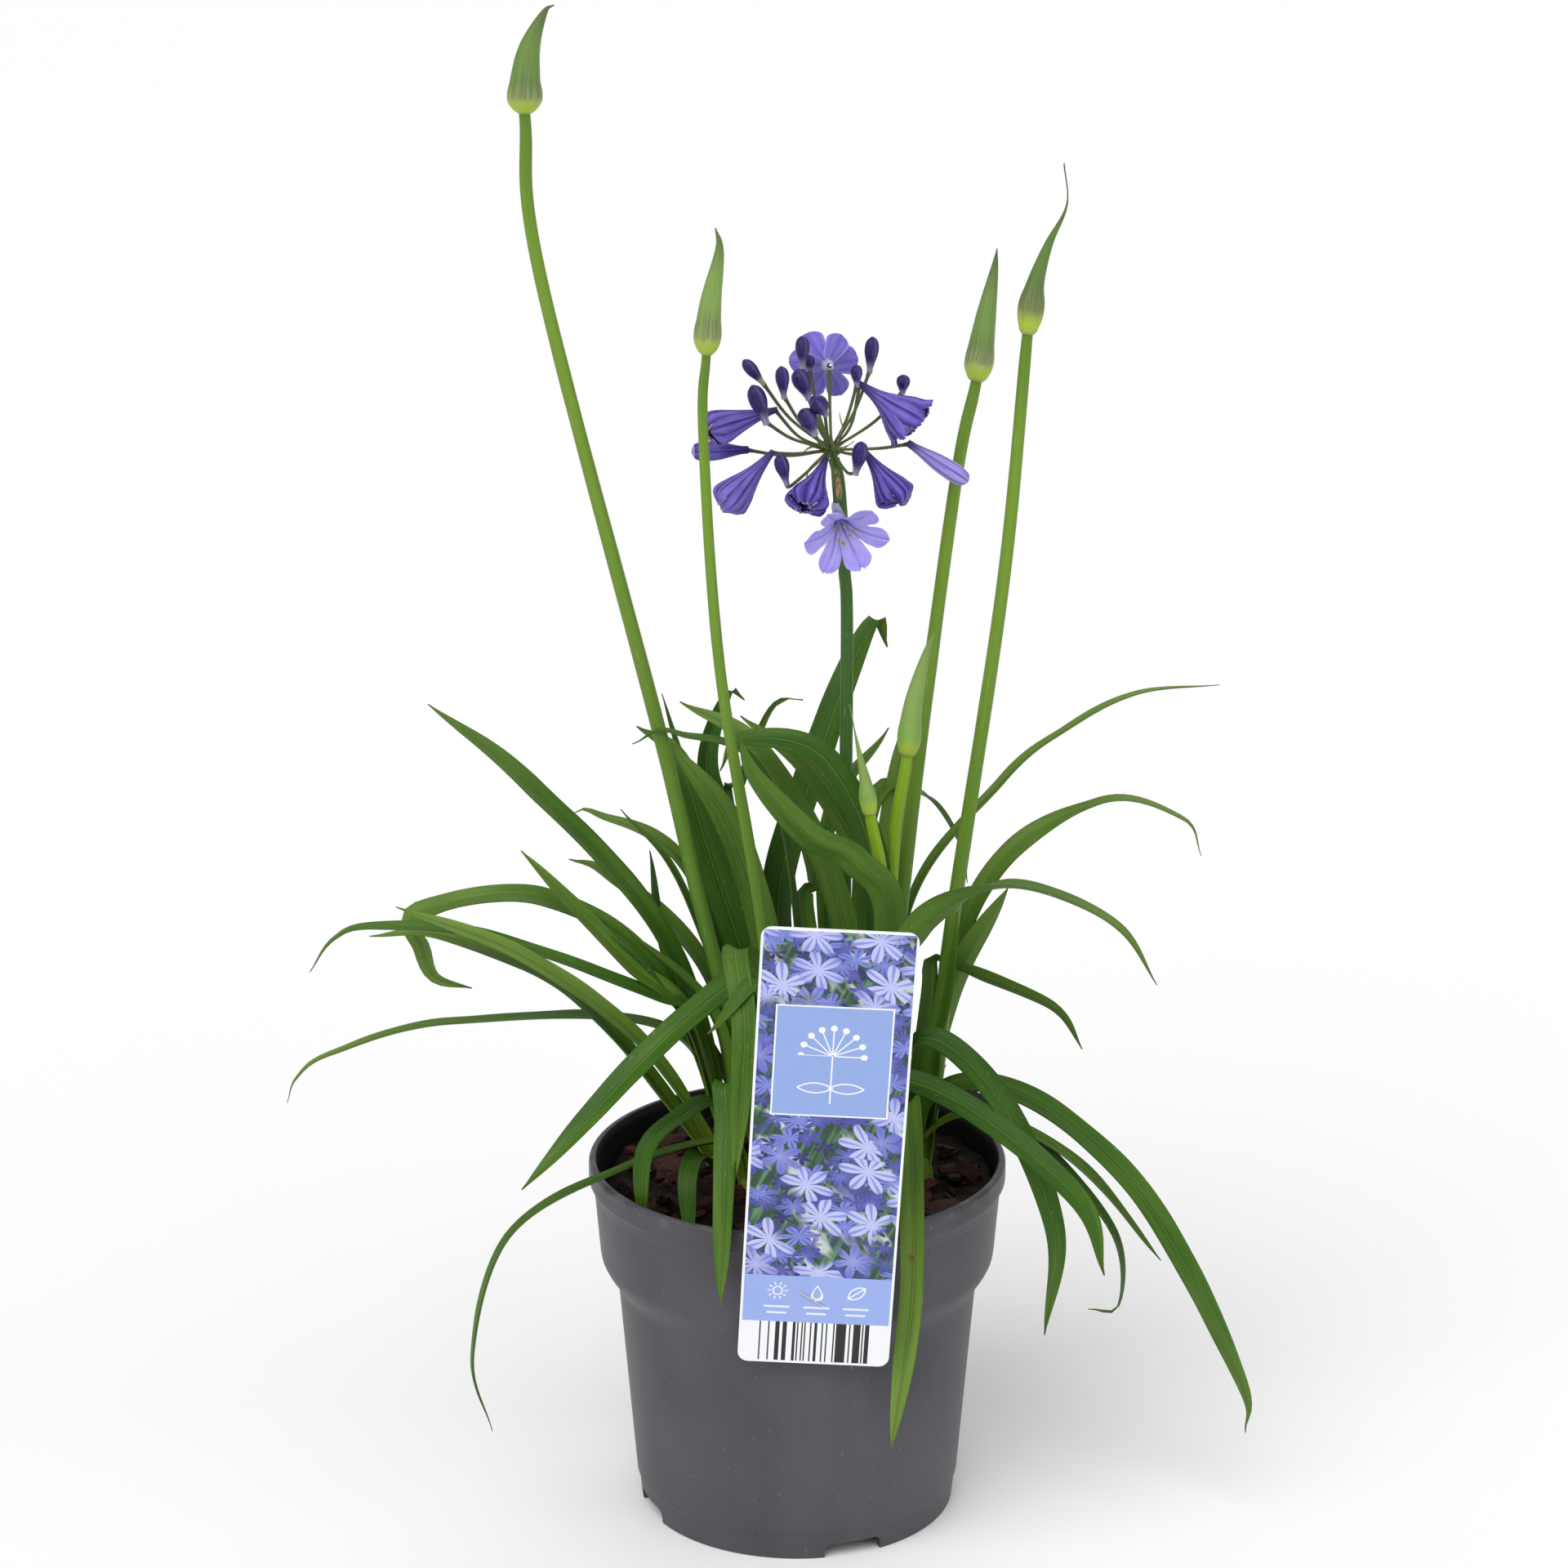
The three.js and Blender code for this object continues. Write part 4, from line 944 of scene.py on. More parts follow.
class Body:
    """A piece in the making, in millimetres: one mesh with numbers at its points."""

    def __init__(self, name: str, *finishes: Material, marks: Sequence[str] = MARKS) -> None:
        """Starts an empty piece.

        Args:
            name: the piece's name.
            finishes: its materials, which the parts name by number.
            marks: the numbers that its points carry.
        """
        self.name = name
        self.finishes = finishes
        self.mesh = bmesh.new()
        self.marks = {mark: self.mesh.verts.layers.float.new(mark) for mark in marks}

    def mark(self, verts: Iterable[BMVert], **numbers: float) -> None:
        """Writes numbers at points."""
        for vert, (name, number) in product(verts, numbers.items()):
            vert[self.marks[name]] = number

    def paint(self, verts: Iterable[BMVert], finish: int) -> None:
        """Gives the faces round some points one of the finishes."""
        for face in around(verts, "link_faces"):
            face.material_index = finish

    def ribbon(
        self, columns: int, rows: int, shape: Shape, thickness: float, finish: int = 0, length: float = 1.0,
        tone: float = 0.5, keel: float = 0.0, fade: float = 0.0,
    ) -> None:
        """Bends a grid into a thin closed shell.

        Args:
            columns: faces across.
            rows: faces along.
            shape: the place of the face side at a share across, -1 to 1, and along, 0 to 1.
            thickness: of the shell.
            finish: which finish it has.
            length: millimetres from its foot to its tip, for its marks.
            tone: its own number, which varies its colour.
            keel: how much thicker it is down its middle.
            fade: what share of its thickness it loses by the tip.
        """
        face_side = bmesh.ops.create_grid(self.mesh, x_segments=columns, y_segments=rows, size=1)["verts"]
        for vert in face_side:
            across, share = vert.co.x, (vert.co.y + 1) / 2
            self.mark([vert], across=across, share=share, along=share * length, tone=tone)
            vert.co = shape(across, share)
        faces = around(face_side, "link_faces")
        for face in faces:
            face.normal_update()
        for vert in face_side:
            vert.normal_update()
        shell = bmesh.ops.extrude_face_region(self.mesh, geom=faces)["geom"]
        for part in shell:
            if isinstance(part, BMFace):
                part.normal_update()
        back = [part for part in shell if isinstance(part, BMVert)]
        for vert in back:
            vert.normal_update()
            middle = max(0.0, 1 - 1.6 * abs(vert[self.marks["across"]])) ** 2
            vert.co -= vert.normal * (thickness + keel * middle) * (1 - fade * vert[self.marks["share"]] ** 2)
        self.mark(back, under=1)
        self.paint([*face_side, *back], finish)

    def island(self, start: BMVert) -> list[BMVert]:
        """Every point joined to one by edges.

        Args:
            start: the point.

        Returns:
            Them and the point.
        """
        found, edge = {start: True}, [start]
        while edge:
            vert = edge.pop()
            for other in (link.other_vert(vert) for link in vert.link_edges):
                if other not in found:
                    found[other] = True
                    edge.append(other)
        return list(found)

    def wrap(
        self, sides: int, rows: int, shape: Shape, finish: int = 0, length: float = 1.0, tone: float = 0.5,
        seam: Amount | None = None,
    ) -> list[BMVert]:
        """Wraps a grid round into a closed body whose ends are drawn together.

        Args:
            sides: faces round.
            rows: faces along.
            shape: the place at an angle round and a share along.
            finish: which finish it has.
            length: millimetres from end to end, for its marks.
            tone: its own number, which varies its colour.
            seam: how strongly a seam shows at an angle and a share.

        Returns:
            Its points.
        """
        grid = bmesh.ops.create_grid(self.mesh, x_segments=sides, y_segments=rows + 2, size=1)["verts"]
        ends = {}
        for end in (0, 1):
            ring = [shape(TURN * side / sides, float(end)) for side in range(sides)]
            ends[end] = sum(ring, Vector()) / sides
        for vert in grid:
            angle = pi * (vert.co.x + 1)
            row = round((vert.co.y + 1) / 2 * (rows + 2))
            share = min(max((row - 1) / rows, 0.0), 1.0)
            self.mark([vert], turn_x=cos(angle), turn_y=sin(angle), share=share)
            self.mark([vert], along=share * length, tone=tone, seam=seam(angle, share) if seam else 0.0)
            side = round(angle / TURN * sides) % sides
            inner = 0 < row < rows + 2
            vert.co = shape(TURN * side / sides, share) if inner else ends[int(share)]
        bmesh.ops.remove_doubles(self.mesh, verts=grid, dist=1e-5)
        body = self.island(next(vert for vert in grid if vert.is_valid))
        self.paint(body, finish)
        return body

    def rod(
        self, path: Path, radius: Amount, sides: int, rows: int, guide: Vector | None = None, **details: Any
    ) -> list[BMVert]:
        """Wraps a grid round a path.

        Args:
            path: its middle line.
            radius: at an angle round and a share along.
            sides: faces round.
            rows: faces along.
            guide: the direction that angle 0 looks in at the start.
            details: what wrap takes besides.

        Returns:
            Its points.
        """
        stations = path.frames(rows, guide or Vector((1, 0.13, 0.21)))

        def shape(angle: float, share: float) -> Vector:
            """The place on the rod."""
            centre, across, along = stations[round(share * rows)]
            way = across * cos(angle) + along.cross(across) * sin(angle)
            return centre + way * radius(angle, share)

        return self.wrap(sides, rows, shape, length=path.length, **details)

    def spin(self, profile: Sequence[tuple[float, float, float]], steps: int) -> None:
        """Turns a profile round the Z axis.

        Args:
            profile: radius, height and how far the corner is rounded, for each corner.
            steps: faces round.
        """
        corners = [self.mesh.verts.new((radius, 0, height)) for radius, height, _ in profile]
        for before, after in zip(corners, corners[1:]):
            self.mesh.edges.new((before, after))
        for corner, (_, _, ease) in zip(corners, profile):
            if ease:
                bmesh.ops.bevel(
                    self.mesh, geom=[corner], affect="VERTICES", offset=ease, segments=3, profile=0.5, material=-1
                )
        bmesh.ops.spin(
            self.mesh, geom=self.mesh.verts[:] + self.mesh.edges[:], cent=(0, 0, 0), axis=(0, 0, 1),
            angle=TURN, steps=steps, use_merge=True,
        )
        bmesh.ops.remove_doubles(self.mesh, verts=self.mesh.verts, dist=1e-4)

    def finish(self, slot: str, *nodes: str, crisp: float = 55.0) -> Object:
        """Brings the piece to metres and hands it to the frame.

        Args:
            slot: not used.
            nodes: the solids that it stands for.
            crisp: the angle in degrees from which an edge stays sharp.

        Returns:
            The piece.
        """
        bmesh.ops.recalc_face_normals(self.mesh, faces=self.mesh.faces)
        bmesh.ops.scale(self.mesh, vec=(MM, MM, MM), verts=self.mesh.verts)
        piece = set_down(self.name, self.mesh)
        mesh = piece.data
        mesh.shade_smooth()
        mesh.set_sharp_from_angle(angle=radians(crisp))
        for finish in self.finishes:
            mesh.materials.append(finish)
        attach(piece, "root")
        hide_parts(*nodes)
        log.info("%s: %d faces", self.name, len(mesh.polygons))
        return piece


def smooth(value: float, low: float, high: float) -> float:
    """Goes smoothly from 0 at low to 1 at high."""
    share = min(max((value - low) / (high - low), 0.0), 1.0)
    return share * share * (3 - 2 * share)


def lerp(first: float, second: float, share: float) -> float:
    """A number between two numbers."""
    return first + (second - first) * share


def ripple(x: float, y: float = 0.0, z: float = 0.0) -> float:
    """Smooth noise from about -1 to 1."""
    return noise.noise(Vector((x, y, z)))


def around(verts: Iterable[BMVert], kind: str) -> list[Any]:
    """What lies round some points, each part once and in the same order each time.

    Args:
        verts: the points.
        kind: link_edges or link_faces.

    Returns:
        The edges or faces.
    """
    return list(dict.fromkeys(part for vert in verts for part in getattr(vert, kind)))


def set_down(name: str, shape: BMesh) -> Object:
    """Makes an object of a finished shape.

    Args:
        name: the object's name.
        shape: the shape, which is spent.

    Returns:
        The object, in the scene.
    """
    mesh = bpy.data.meshes.new(name)
    shape.to_mesh(mesh)
    shape.free()
    made = bpy.data.objects.new(name, mesh)
    bpy.context.scene.collection.objects.link(made)
    return made


# studio

@dataclass
class Studio:
    """Pale floor, soft lights and the camera."""

    floor_size: float = 12.0
    floor_colour: Colour = (0.96, 0.96, 0.96)
    backdrop: Colour = (1.0, 1.0, 1.0)
    backdrop_strength: float = 0.36
    camera_place: Place = (-0.004456, -1.2843, 0.6453)
    camera_tilt: float = 0.2953
    lens: float = 93.75
    sensor: float = 36.0
    lamps: tuple[tuple[str, Place, float, float], ...] = (
        ("key", (-0.55, -0.9, 1.15), 2.0, 0.9),
        ("fill", (0.9, -0.7, 0.6), 0.75, 1.2),
        ("back", (0.3, 1.0, 0.9), 0.55, 1.0),
    )

    def set_up(self) -> None:
        """Makes the floor, the world, the lamps and the camera."""
        scene = bpy.context.scene
        scene.view_settings.view_transform = "Standard"
        self._floor()
        world = bpy.data.worlds.new("studio")
        world.use_nodes = True
        light = world.node_tree.nodes["Background"]
        light.inputs["Color"].default_value = (*self.backdrop, 1)
        light.inputs["Strength"].default_value = self.backdrop_strength
        scene.world = world
        for name, place, power, breadth in self.lamps:
            lamp = bpy.data.lights.new(name, "SUN")
            lamp.energy, lamp.angle = power, breadth
            self._stand(lamp, place, (-Vector(place)).to_track_quat("-Z", "Y").to_euler())
        camera = bpy.data.cameras.new("camera")
        camera.lens = self.lens
        camera.sensor_width = self.sensor
        scene.camera = self._stand(camera, self.camera_place, (pi / 2 - self.camera_tilt, 0, 0))

    def _stand(self, device: Any, place: Place, turn: Sequence[float]) -> Object:
        """Stands a lamp or a camera in the scene.

        Args:
            device: the lamp or camera.
            place: its place, in metres.
            turn: its angles about X, Y and Z.

        Returns:
            Its object.
        """
        stand = bpy.data.objects.new(device.name, device)
        stand.location, stand.rotation_euler = place, turn
        bpy.context.scene.collection.objects.link(stand)
        return stand

    def _floor(self) -> None:
        """Lays the floor."""
        shape = bmesh.new()
        bmesh.ops.create_grid(shape, x_segments=1, y_segments=1, size=self.floor_size)
        floor = set_down("floor", shape)
        floor.data.materials.append(Coat("floor", Base_Color=self.floor_colour, Roughness=0.9).material)


# pot and compost

@dataclass
class NurseryPot:
    """Thin-walled moulded pot with a deep collar, a footed ring with notches, and drain holes."""

    steps: int = 128
    profile: tuple[tuple[float, float, float], ...] = (
        (0, 0, 0), (30, 0, 0.3), (31, 3, 0.6), (50, 3, 0.6), (50.5, 0, 0.4), (53.5, 0, 0.5), (54.4, 9, 0.3),
        (55.1, 10.2, 0.6), (60.6, 76.5, 2.4), (61.1, 80.5, 2.0), (65.7, 87, 2.4), (66.7, 90, 1.8),
        (68.6, 112.8, 0.4), (68.9, 113.4, 0.2), (69.5, 116.0, 0.7), (70.4, 117.0, 0.4), (70.4, 123, 0.5),
        (69.6, 124, 0.4), (68.0, 124, 0.4), (67.1, 121.6, 0.6), (65.1, 90, 2.0), (59.5, 80.5, 2.0),
        (52.2, 5.2, 1.0), (0, 5.2, 0),
    )
    notches: int = 4
    notch_width: float = 20.0
    notch_height: float = 5.0
    notch_corner: float = 2.5
    notch_reach: float = 12.0
    notch_angle: float = -69.4
    foot_radius: float = 53.5
    drains: int = 6
    drain_radius: float = 4.5
    drain_ring: float = 40.0

    def build(self) -> None:
        """Spins the wall and cuts the notches and drain holes."""
        body = Body("nursery_pot", PotFinish().material())
        body.spin(self.profile, self.steps)
        pot = body.finish("pot_plastic", "pot", crisp=40.0)
        cutter = self._cutters()
        cut = pot.modifiers.new("cut", "BOOLEAN")
        cut.operation, cut.solver, cut.object = "DIFFERENCE", "EXACT", cutter
        bpy.context.view_layer.update()
        graph = bpy.context.evaluated_depsgraph_get()
        mesh = bpy.data.meshes.new_from_object(pot.evaluated_get(graph), depsgraph=graph)
        mesh.name = "nursery_pot"
        pot.modifiers.clear()
        pot.data = mesh
        mesh.shade_smooth()
        mesh.set_sharp_from_angle(angle=radians(35))
        bpy.data.objects.remove(cutter)

    def _ring_of(self, shape: BMesh, part: list[Any], count: int) -> None:
        """Repeats a part evenly round the Z axis.

        Args:
            shape: the mesh.
            part: what to repeat.
            count: how many there are in the end.
        """
        bmesh.ops.spin(
            shape, geom=part, cent=(0, 0, 0), axis=(0, 0, 1), angle=TURN * (count - 1) / count, steps=count - 1,
            use_duplicate=True,
        )

    def _cutters(self) -> Object:
        """The shapes of the notches and drain holes, as one object.

        Returns:
            The object.
        """
        shape = bmesh.new()
        block = bmesh.ops.create_cube(shape, size=1)["verts"]
        height = self.notch_height + 3
        bmesh.ops.scale(shape, vec=(self.notch_reach, self.notch_width, height), verts=block)
        top = [edge for edge in shape.edges if all(end.co.z > 0 for end in edge.verts)]
        ridges = [edge for edge in top if edge.verts[0].co.y * edge.verts[1].co.y > 0]
        bmesh.ops.bevel(
            shape, geom=ridges, affect="EDGES", offset=self.notch_corner, segments=5, profile=0.5, material=-1
        )
        bmesh.ops.translate(shape, vec=(self.foot_radius, 0, height / 2 - 3), verts=shape.verts)
        turn = Matrix.Rotation(radians(self.notch_angle), 3, "Z")
        bmesh.ops.rotate(shape, cent=(0, 0, 0), matrix=turn, verts=shape.verts)
        self._ring_of(shape, shape.verts[:] + shape.edges[:] + shape.faces[:], self.notches)
        drain = bmesh.ops.create_cone(
            shape, cap_ends=True, segments=24, radius1=self.drain_radius, radius2=self.drain_radius, depth=20,
            matrix=Matrix.Rotation(pi / self.drains, 4, "Z") @ Matrix.Translation((self.drain_ring, 0, 0)),
        )["verts"]
        self._ring_of(shape, [*drain, *around(drain, "link_edges"), *around(drain, "link_faces")], self.drains)
        bmesh.ops.recalc_face_normals(shape, faces=shape.faces)
        bmesh.ops.scale(shape, vec=(MM, MM, MM), verts=shape.verts)
        return set_down("cutters", shape)


@dataclass
class Compost:
    """Fills the pot with lumpy compost under a loose mulch of bark chips."""

    feet: Sequence[tuple[float, float]]
    top: float = 108.0
    wall: tuple[tuple[float, float], ...] = ((0, 5.5), (51.6, 5.5), (58.9, 80.5), (64.5, 90), (65.7, 106.4))
    relief: float = 1.7
    heap: float = 7.5
    hollow: Place = (-0.75, -0.66, 56.0)
    chip: Place = (12.0, 8.0, 5.6)
    main_chips: int = 22
    loose_chips: int = 210
    crumbs: int = 260
    rings: int = 46
    spokes: int = 140
    strewn: float = 62.5
    inner_wall: float = 64.0
    main_reach: float = 57.0
    clear: float = 12.0

    def build(self) -> None:
        """Lays the bed, then the chips."""
        bed = Body("compost_bed", CompostFinish().material())
        edge = self.wall[-1][0]
        profile = [(radius, height, 0) for radius, height in self.wall]
        profile += [(edge * (1 - ring / self.rings), self.top, 0) for ring in range(self.rings + 1)]
        bed.spin(profile, self.spokes)
        for vert in bed.mesh.verts:
            if vert.co.z > self.top - 0.1:
                x, y = vert.co.x, vert.co.y
                lump = ripple(x * 0.07, y * 0.07, 4) + 0.6 * ripple(x * 0.19, y * 0.19)
                lump += 0.35 * ripple(x * 0.5, y * 0.5)
                vert.co.z += self.relief * lump - 0.6 + self._heaped(x, y)
        bed.finish("compost", "soil", crisp=180)
        self._mulch()

    def _heaped(self, x: float, y: float) -> float:
        """How far the compost is heaped up at a place: least at the hollow by the front left of the wall."""
        east, north, reach = self.hollow
        return self.heap * (1 - 0.9 * smooth(x * east + y * north, reach - 34, reach))

    def _mulch(self) -> None:
        """Strews the chips: large ones at set places, then loose ones and crumbs."""
        mulch = Body("bark_mulch", BarkFinish().material(), marks=("chip_x", "chip_y", "chip_z", "tone"))
        for place, size, tilt, grain in self._main_places():
            self._chip(mulch, Random(round(place[0] * 97)), place, size, (tilt, 0.0, grain))
        chance = Random(11)
        for number in range(self.loose_chips + self.crumbs):
            crumb = number >= self.loose_chips
            reach, angle = self.strewn * sqrt(chance.random()), TURN * chance.random()
            x, y = reach * cos(angle), reach * sin(angle)
            scale = chance.uniform(0.16, 0.34) if crumb else chance.uniform(0.42, 0.98)
            near = min(hypot(x - foot[0], y - foot[1]) for foot in self.feet)
            turn = (chance.uniform(-0.7, 0.7), chance.uniform(-0.6, 0.6), chance.uniform(0, pi))
            if near < 4.6 + 4 * scale or reach > self.inner_wall - 6 * scale:
                continue
            height = self.top + self._heaped(x, y) + chance.uniform(-0.6, 1.6)
            self._chip(mulch, chance, (x, y, height), scale, turn, plain=crumb)
        mulch.finish("compost", "soil", crisp=32)

    def _main_places(self) -> Iterable[tuple[Place, float, float, float]]:
        """The set places of the large chips, clear of every foot.

        Returns:
            Place, size, tilt and turn of each.
        """
        state, places = 7, []

        def draw() -> float:
            """The next number from 0 to 1, of the solids' own run of draws.

            Returns:
                The number.
            """
            nonlocal state
            state = (state * 1664525 + 1013904223) % 4294967296
            return state / 4294967296

        while len(places) < self.main_chips:
            reach, angle = self.main_reach * sqrt(draw()), TURN * draw()
            x, y = reach * cos(angle), reach * sin(angle)
            grain, size = draw() * pi, 0.75 + 0.5 * draw()
            if any(hypot(foot[0] - x, foot[1] - y) < self.clear for foot in self.feet):
                continue
            places.append(((x, y, self.top + self._heaped(x, y) + 0.7), size, 0.3 * (draw() - 0.5), grain))
        return places

    def _chip(
        self, mulch: Body, chance: Random, place: Place, size: float, turn: Place, plain: bool = False
    ) -> None:
        """Breaks one angular chip from a block.

        Args:
            mulch: the body that it joins.
            chance: the source of its unevenness.
            place: its middle.
            size: its share of a full chip.
            turn: its angles about X, Y and Z.
            plain: whether it is a small crumb.
        """
        block = bmesh.ops.create_cube(mulch.mesh, size=1)["verts"]
        if not plain:
            edges = around(block, "link_edges")
            parts = bmesh.ops.subdivide_edges(mulch.mesh, edges=edges, cuts=2, use_grid_fill=True)["geom"]
            block = mulch.island(next(part for part in parts if isinstance(part, BMVert)))
        long, wide, thick = self.chip
        stretch, narrow, flat = chance.uniform(0.85, 1.25), chance.uniform(0.6, 0.95), chance.uniform(0.6, 1.15)
        lean, pinch, tone = chance.uniform(-0.5, 0.5), chance.uniform(0.2, 0.75), chance.random()
        for vert in block:
            x, y, z = vert.co
            waist = 1 - pinch * (2 * abs(x)) ** 2 * 0.6
            jolt = Vector([chance.uniform(-0.5, 0.5) for _ in range(3)]) * (0.34 if plain else 0.17)
            local = Vector((
                (x + lean * y * 0.5 + jolt.x) * long * stretch,
                (y * waist + jolt.y) * wide * narrow,
                (z * waist * (1 - 0.3 * abs(y)) + jolt.z) * thick * flat,
            )) * size
            mulch.mark([vert], chip_x=local.x, chip_y=local.y, chip_z=local.z, tone=tone)
            vert.co = local
        pose = Matrix.Rotation(turn[2], 3, "Z") @ Matrix.Rotation(turn[1], 3, "Y") @ Matrix.Rotation(turn[0], 3, "X")
        bmesh.ops.transform(mulch.mesh, matrix=Matrix.Translation(place) @ pose.to_4x4(), verts=block)


# label and staple

@dataclass
class PictureLabel:
    """Glossy card that stands in front of the collar, and the wire staple that holds it."""

    width: float = 49.3
    length: float = 158.6
    thickness: float = 0.5
    corner: float = 3.5
    place: Place = (4.9, -65.525, 77.3)
    lean: float = 0.13872
    roll: float = 3.0
    crown: float = 9.8
    wire: float = 0.3
    staple_place: Place = (-1.7, 0.0, 24.7)
    staple_turn: float = 32.0

    def pose(self) -> Matrix:
        """Where the card's own axes stand."""
        turn = Matrix.Rotation(self.lean, 4, "X") @ Matrix.Rotation(radians(self.roll), 4, "Y")
        return Matrix.Translation(self.place) @ turn

    def build(self) -> None:
        """Cuts the card and bends the staple."""
        paper = SpeckledFinish("card back", (0.8, 0.8, 0.79), (0.86, 0.86, 0.86), 120.0, 0.42, 0.05)
        card = Body("picture_label", paper.material(), LabelPrint().material(), marks=("card_x", "card_y"))
        block = bmesh.ops.create_cube(card.mesh, size=1)["verts"]
        bmesh.ops.scale(card.mesh, vec=(self.width, self.thickness, self.length), verts=block)
        bmesh.ops.translate(card.mesh, vec=(0, -self.thickness / 2, self.length / 2), verts=block)
        upright = [edge for edge in card.mesh.edges if abs(edge.verts[0].co.y - edge.verts[1].co.y) > 0.1]
        bmesh.ops.bevel(
            card.mesh, geom=upright, affect="EDGES", offset=self.corner, segments=8, profile=0.5, material=-1
        )
        for vert in card.mesh.verts:
            card.mark([vert], card_x=vert.co.x + self.width / 2, card_y=vert.co.z)
        for face in card.mesh.faces:
            face.normal_update()
            face.material_index = int(face.normal.y < -0.9)
        bmesh.ops.transform(card.mesh, matrix=self.pose(), verts=card.mesh.verts)
        card.finish("label_card", "label", crisp=30)
        self._staple()

    def _staple(self) -> None:
        """Bends the wire through the card into the collar."""
        steel = SpeckledFinish("staple wire", (0.52, 0.52, 0.54), (0.7, 0.7, 0.72), 1500.0, 0.32, 0.03, 1.0)
        staple = Body("wire_staple", steel.material())
        half, front, back, turn = self.crown / 2, -0.86, 2.35, 0.55
        side = [(half, back, 0), (half, 0.7, 0), (half, front + turn, 0), (half - 0.16, front + 0.16, 0),
                (half - turn, front, 0), (half * 0.5, front, 0)]
        places = side + [(-x, y, z) for x, y, z in reversed(side)]
        staple.rod(Path(places), lambda angle, share: self.wire, 10, 90)
        local = Matrix.Translation(self.staple_place) @ Matrix.Rotation(radians(self.staple_turn), 4, "Y")
        bmesh.ops.transform(staple.mesh, matrix=self.pose() @ local, verts=staple.mesh.verts)
        staple.finish("staple_wire", "staple")


# scapes

@dataclass(frozen=True)
class Spathe:
    """The sheathed bud at a scape's top: its bulge, how fast it thins and the places it passes."""

    bulge: float
    thinning: float
    via: tuple[Place, ...]
    seam: float = 0.6
    shade: float = 0.4


@dataclass
class Scape:
    """One flower stalk, with its spathe unless it carries the umbel."""

    name: str
    stalk: tuple[Place, ...]
    spathe: Spathe | None = None
    tone: float = 0.5
    foot_radius: float = 2.8
    top_radius: float = 1.95
    sunk: float = 98.3
    widest: float = 0.135
    tip_radius: float = 0.22

    def build(self, stalk_green: Material, spathe_green: Material) -> None:
        """Builds the stalk and its bud as one piece.

        Args:
            stalk_green: the finish of the stalk.
            spathe_green: the finish of the bud.
        """
        body = Body(self.name + "_stalk", stalk_green, spathe_green)
        x, y, _ = self.stalk[0]
        path = Path([(x, y, self.sunk), *self.stalk[1:]])
        seed = x * 0.37 + y

        def girth(angle: float, share: float) -> float:
            """The stalk's radius: faintly oval and uneven."""
            even = lerp(self.foot_radius, self.top_radius, share)
            waist = 1 - 0.09 * smooth(share, 0.965, 1.0) if self.spathe else 1
            oval = 1 + 0.035 * cos(2 * angle + seed) + 0.012 * cos(7 * angle)
            return even * oval * waist * (1 + 0.03 * ripple(share * path.length * 0.045, seed))

        rows = round(path.length / 3.0)
        body.rod(path, girth, 20, rows, tone=self.tone)
        if self.spathe:
            self._sheath(body, seed)
        body.finish("scape_green", self.name)

    def _sheath(self, body: Body, seed: float) -> None:
        """Wraps the bud: a swelling over the young florets, then a long point.

        Args:
            body: the body that it joins.
            seed: what sets its unevenness.
        """
        top, spathe = self.stalk[-1], self.spathe
        path = Path([(top[0], top[1], top[2] - 0.4), *spathe.via])

        def radius(angle: float, share: float) -> float:
            """The sheath's radius, pleated over the florets and pressed flatter towards its tip."""
            if share < self.widest:
                swell = sin(share / self.widest * 0.5 * pi)
                even = lerp(self.top_radius + 0.1, spathe.bulge, swell ** 0.75)
                even += 0.28 * exp(-((share - 0.012) / 0.012) ** 2)
            else:
                even = spathe.bulge * (1 - (share - self.widest) / (1 - self.widest)) ** spathe.thinning
                even = lerp(spathe.bulge, even, smooth(share, self.widest, self.widest + 0.14))
            pleat = 0.022 * cos(9 * angle + seed) * smooth(share, 0.03, 0.15) * (1 - smooth(share, 0.3, 0.5))
            fold = 0.055 * exp(-((self._off(angle, spathe.seam)) / 0.22) ** 2) * smooth(share, 0.12, 0.4)
            oval = 0.07 * cos(2 * (angle - spathe.seam)) * smooth(share, 0.25, 0.6)
            uneven = 0.02 * ripple(cos(angle) * 1.5, sin(angle) * 1.5, share * 9 + seed)
            return max(self.tip_radius, even * (1 + pleat + fold + oval + uneven))

        def seam(angle: float, share: float) -> float:
            """The dark edge down one side."""
            return exp(-((self._off(angle, spathe.seam)) / 0.16) ** 2) * smooth(share, 0.2, 0.4)

        body.rod(path, radius, 36, round(path.length / 1.0), finish=1, tone=spathe.shade, seam=seam)

    def _off(self, angle: float, other: float) -> float:
        """The smaller angle between two directions."""
        return abs((angle - other + pi) % TURN - pi)


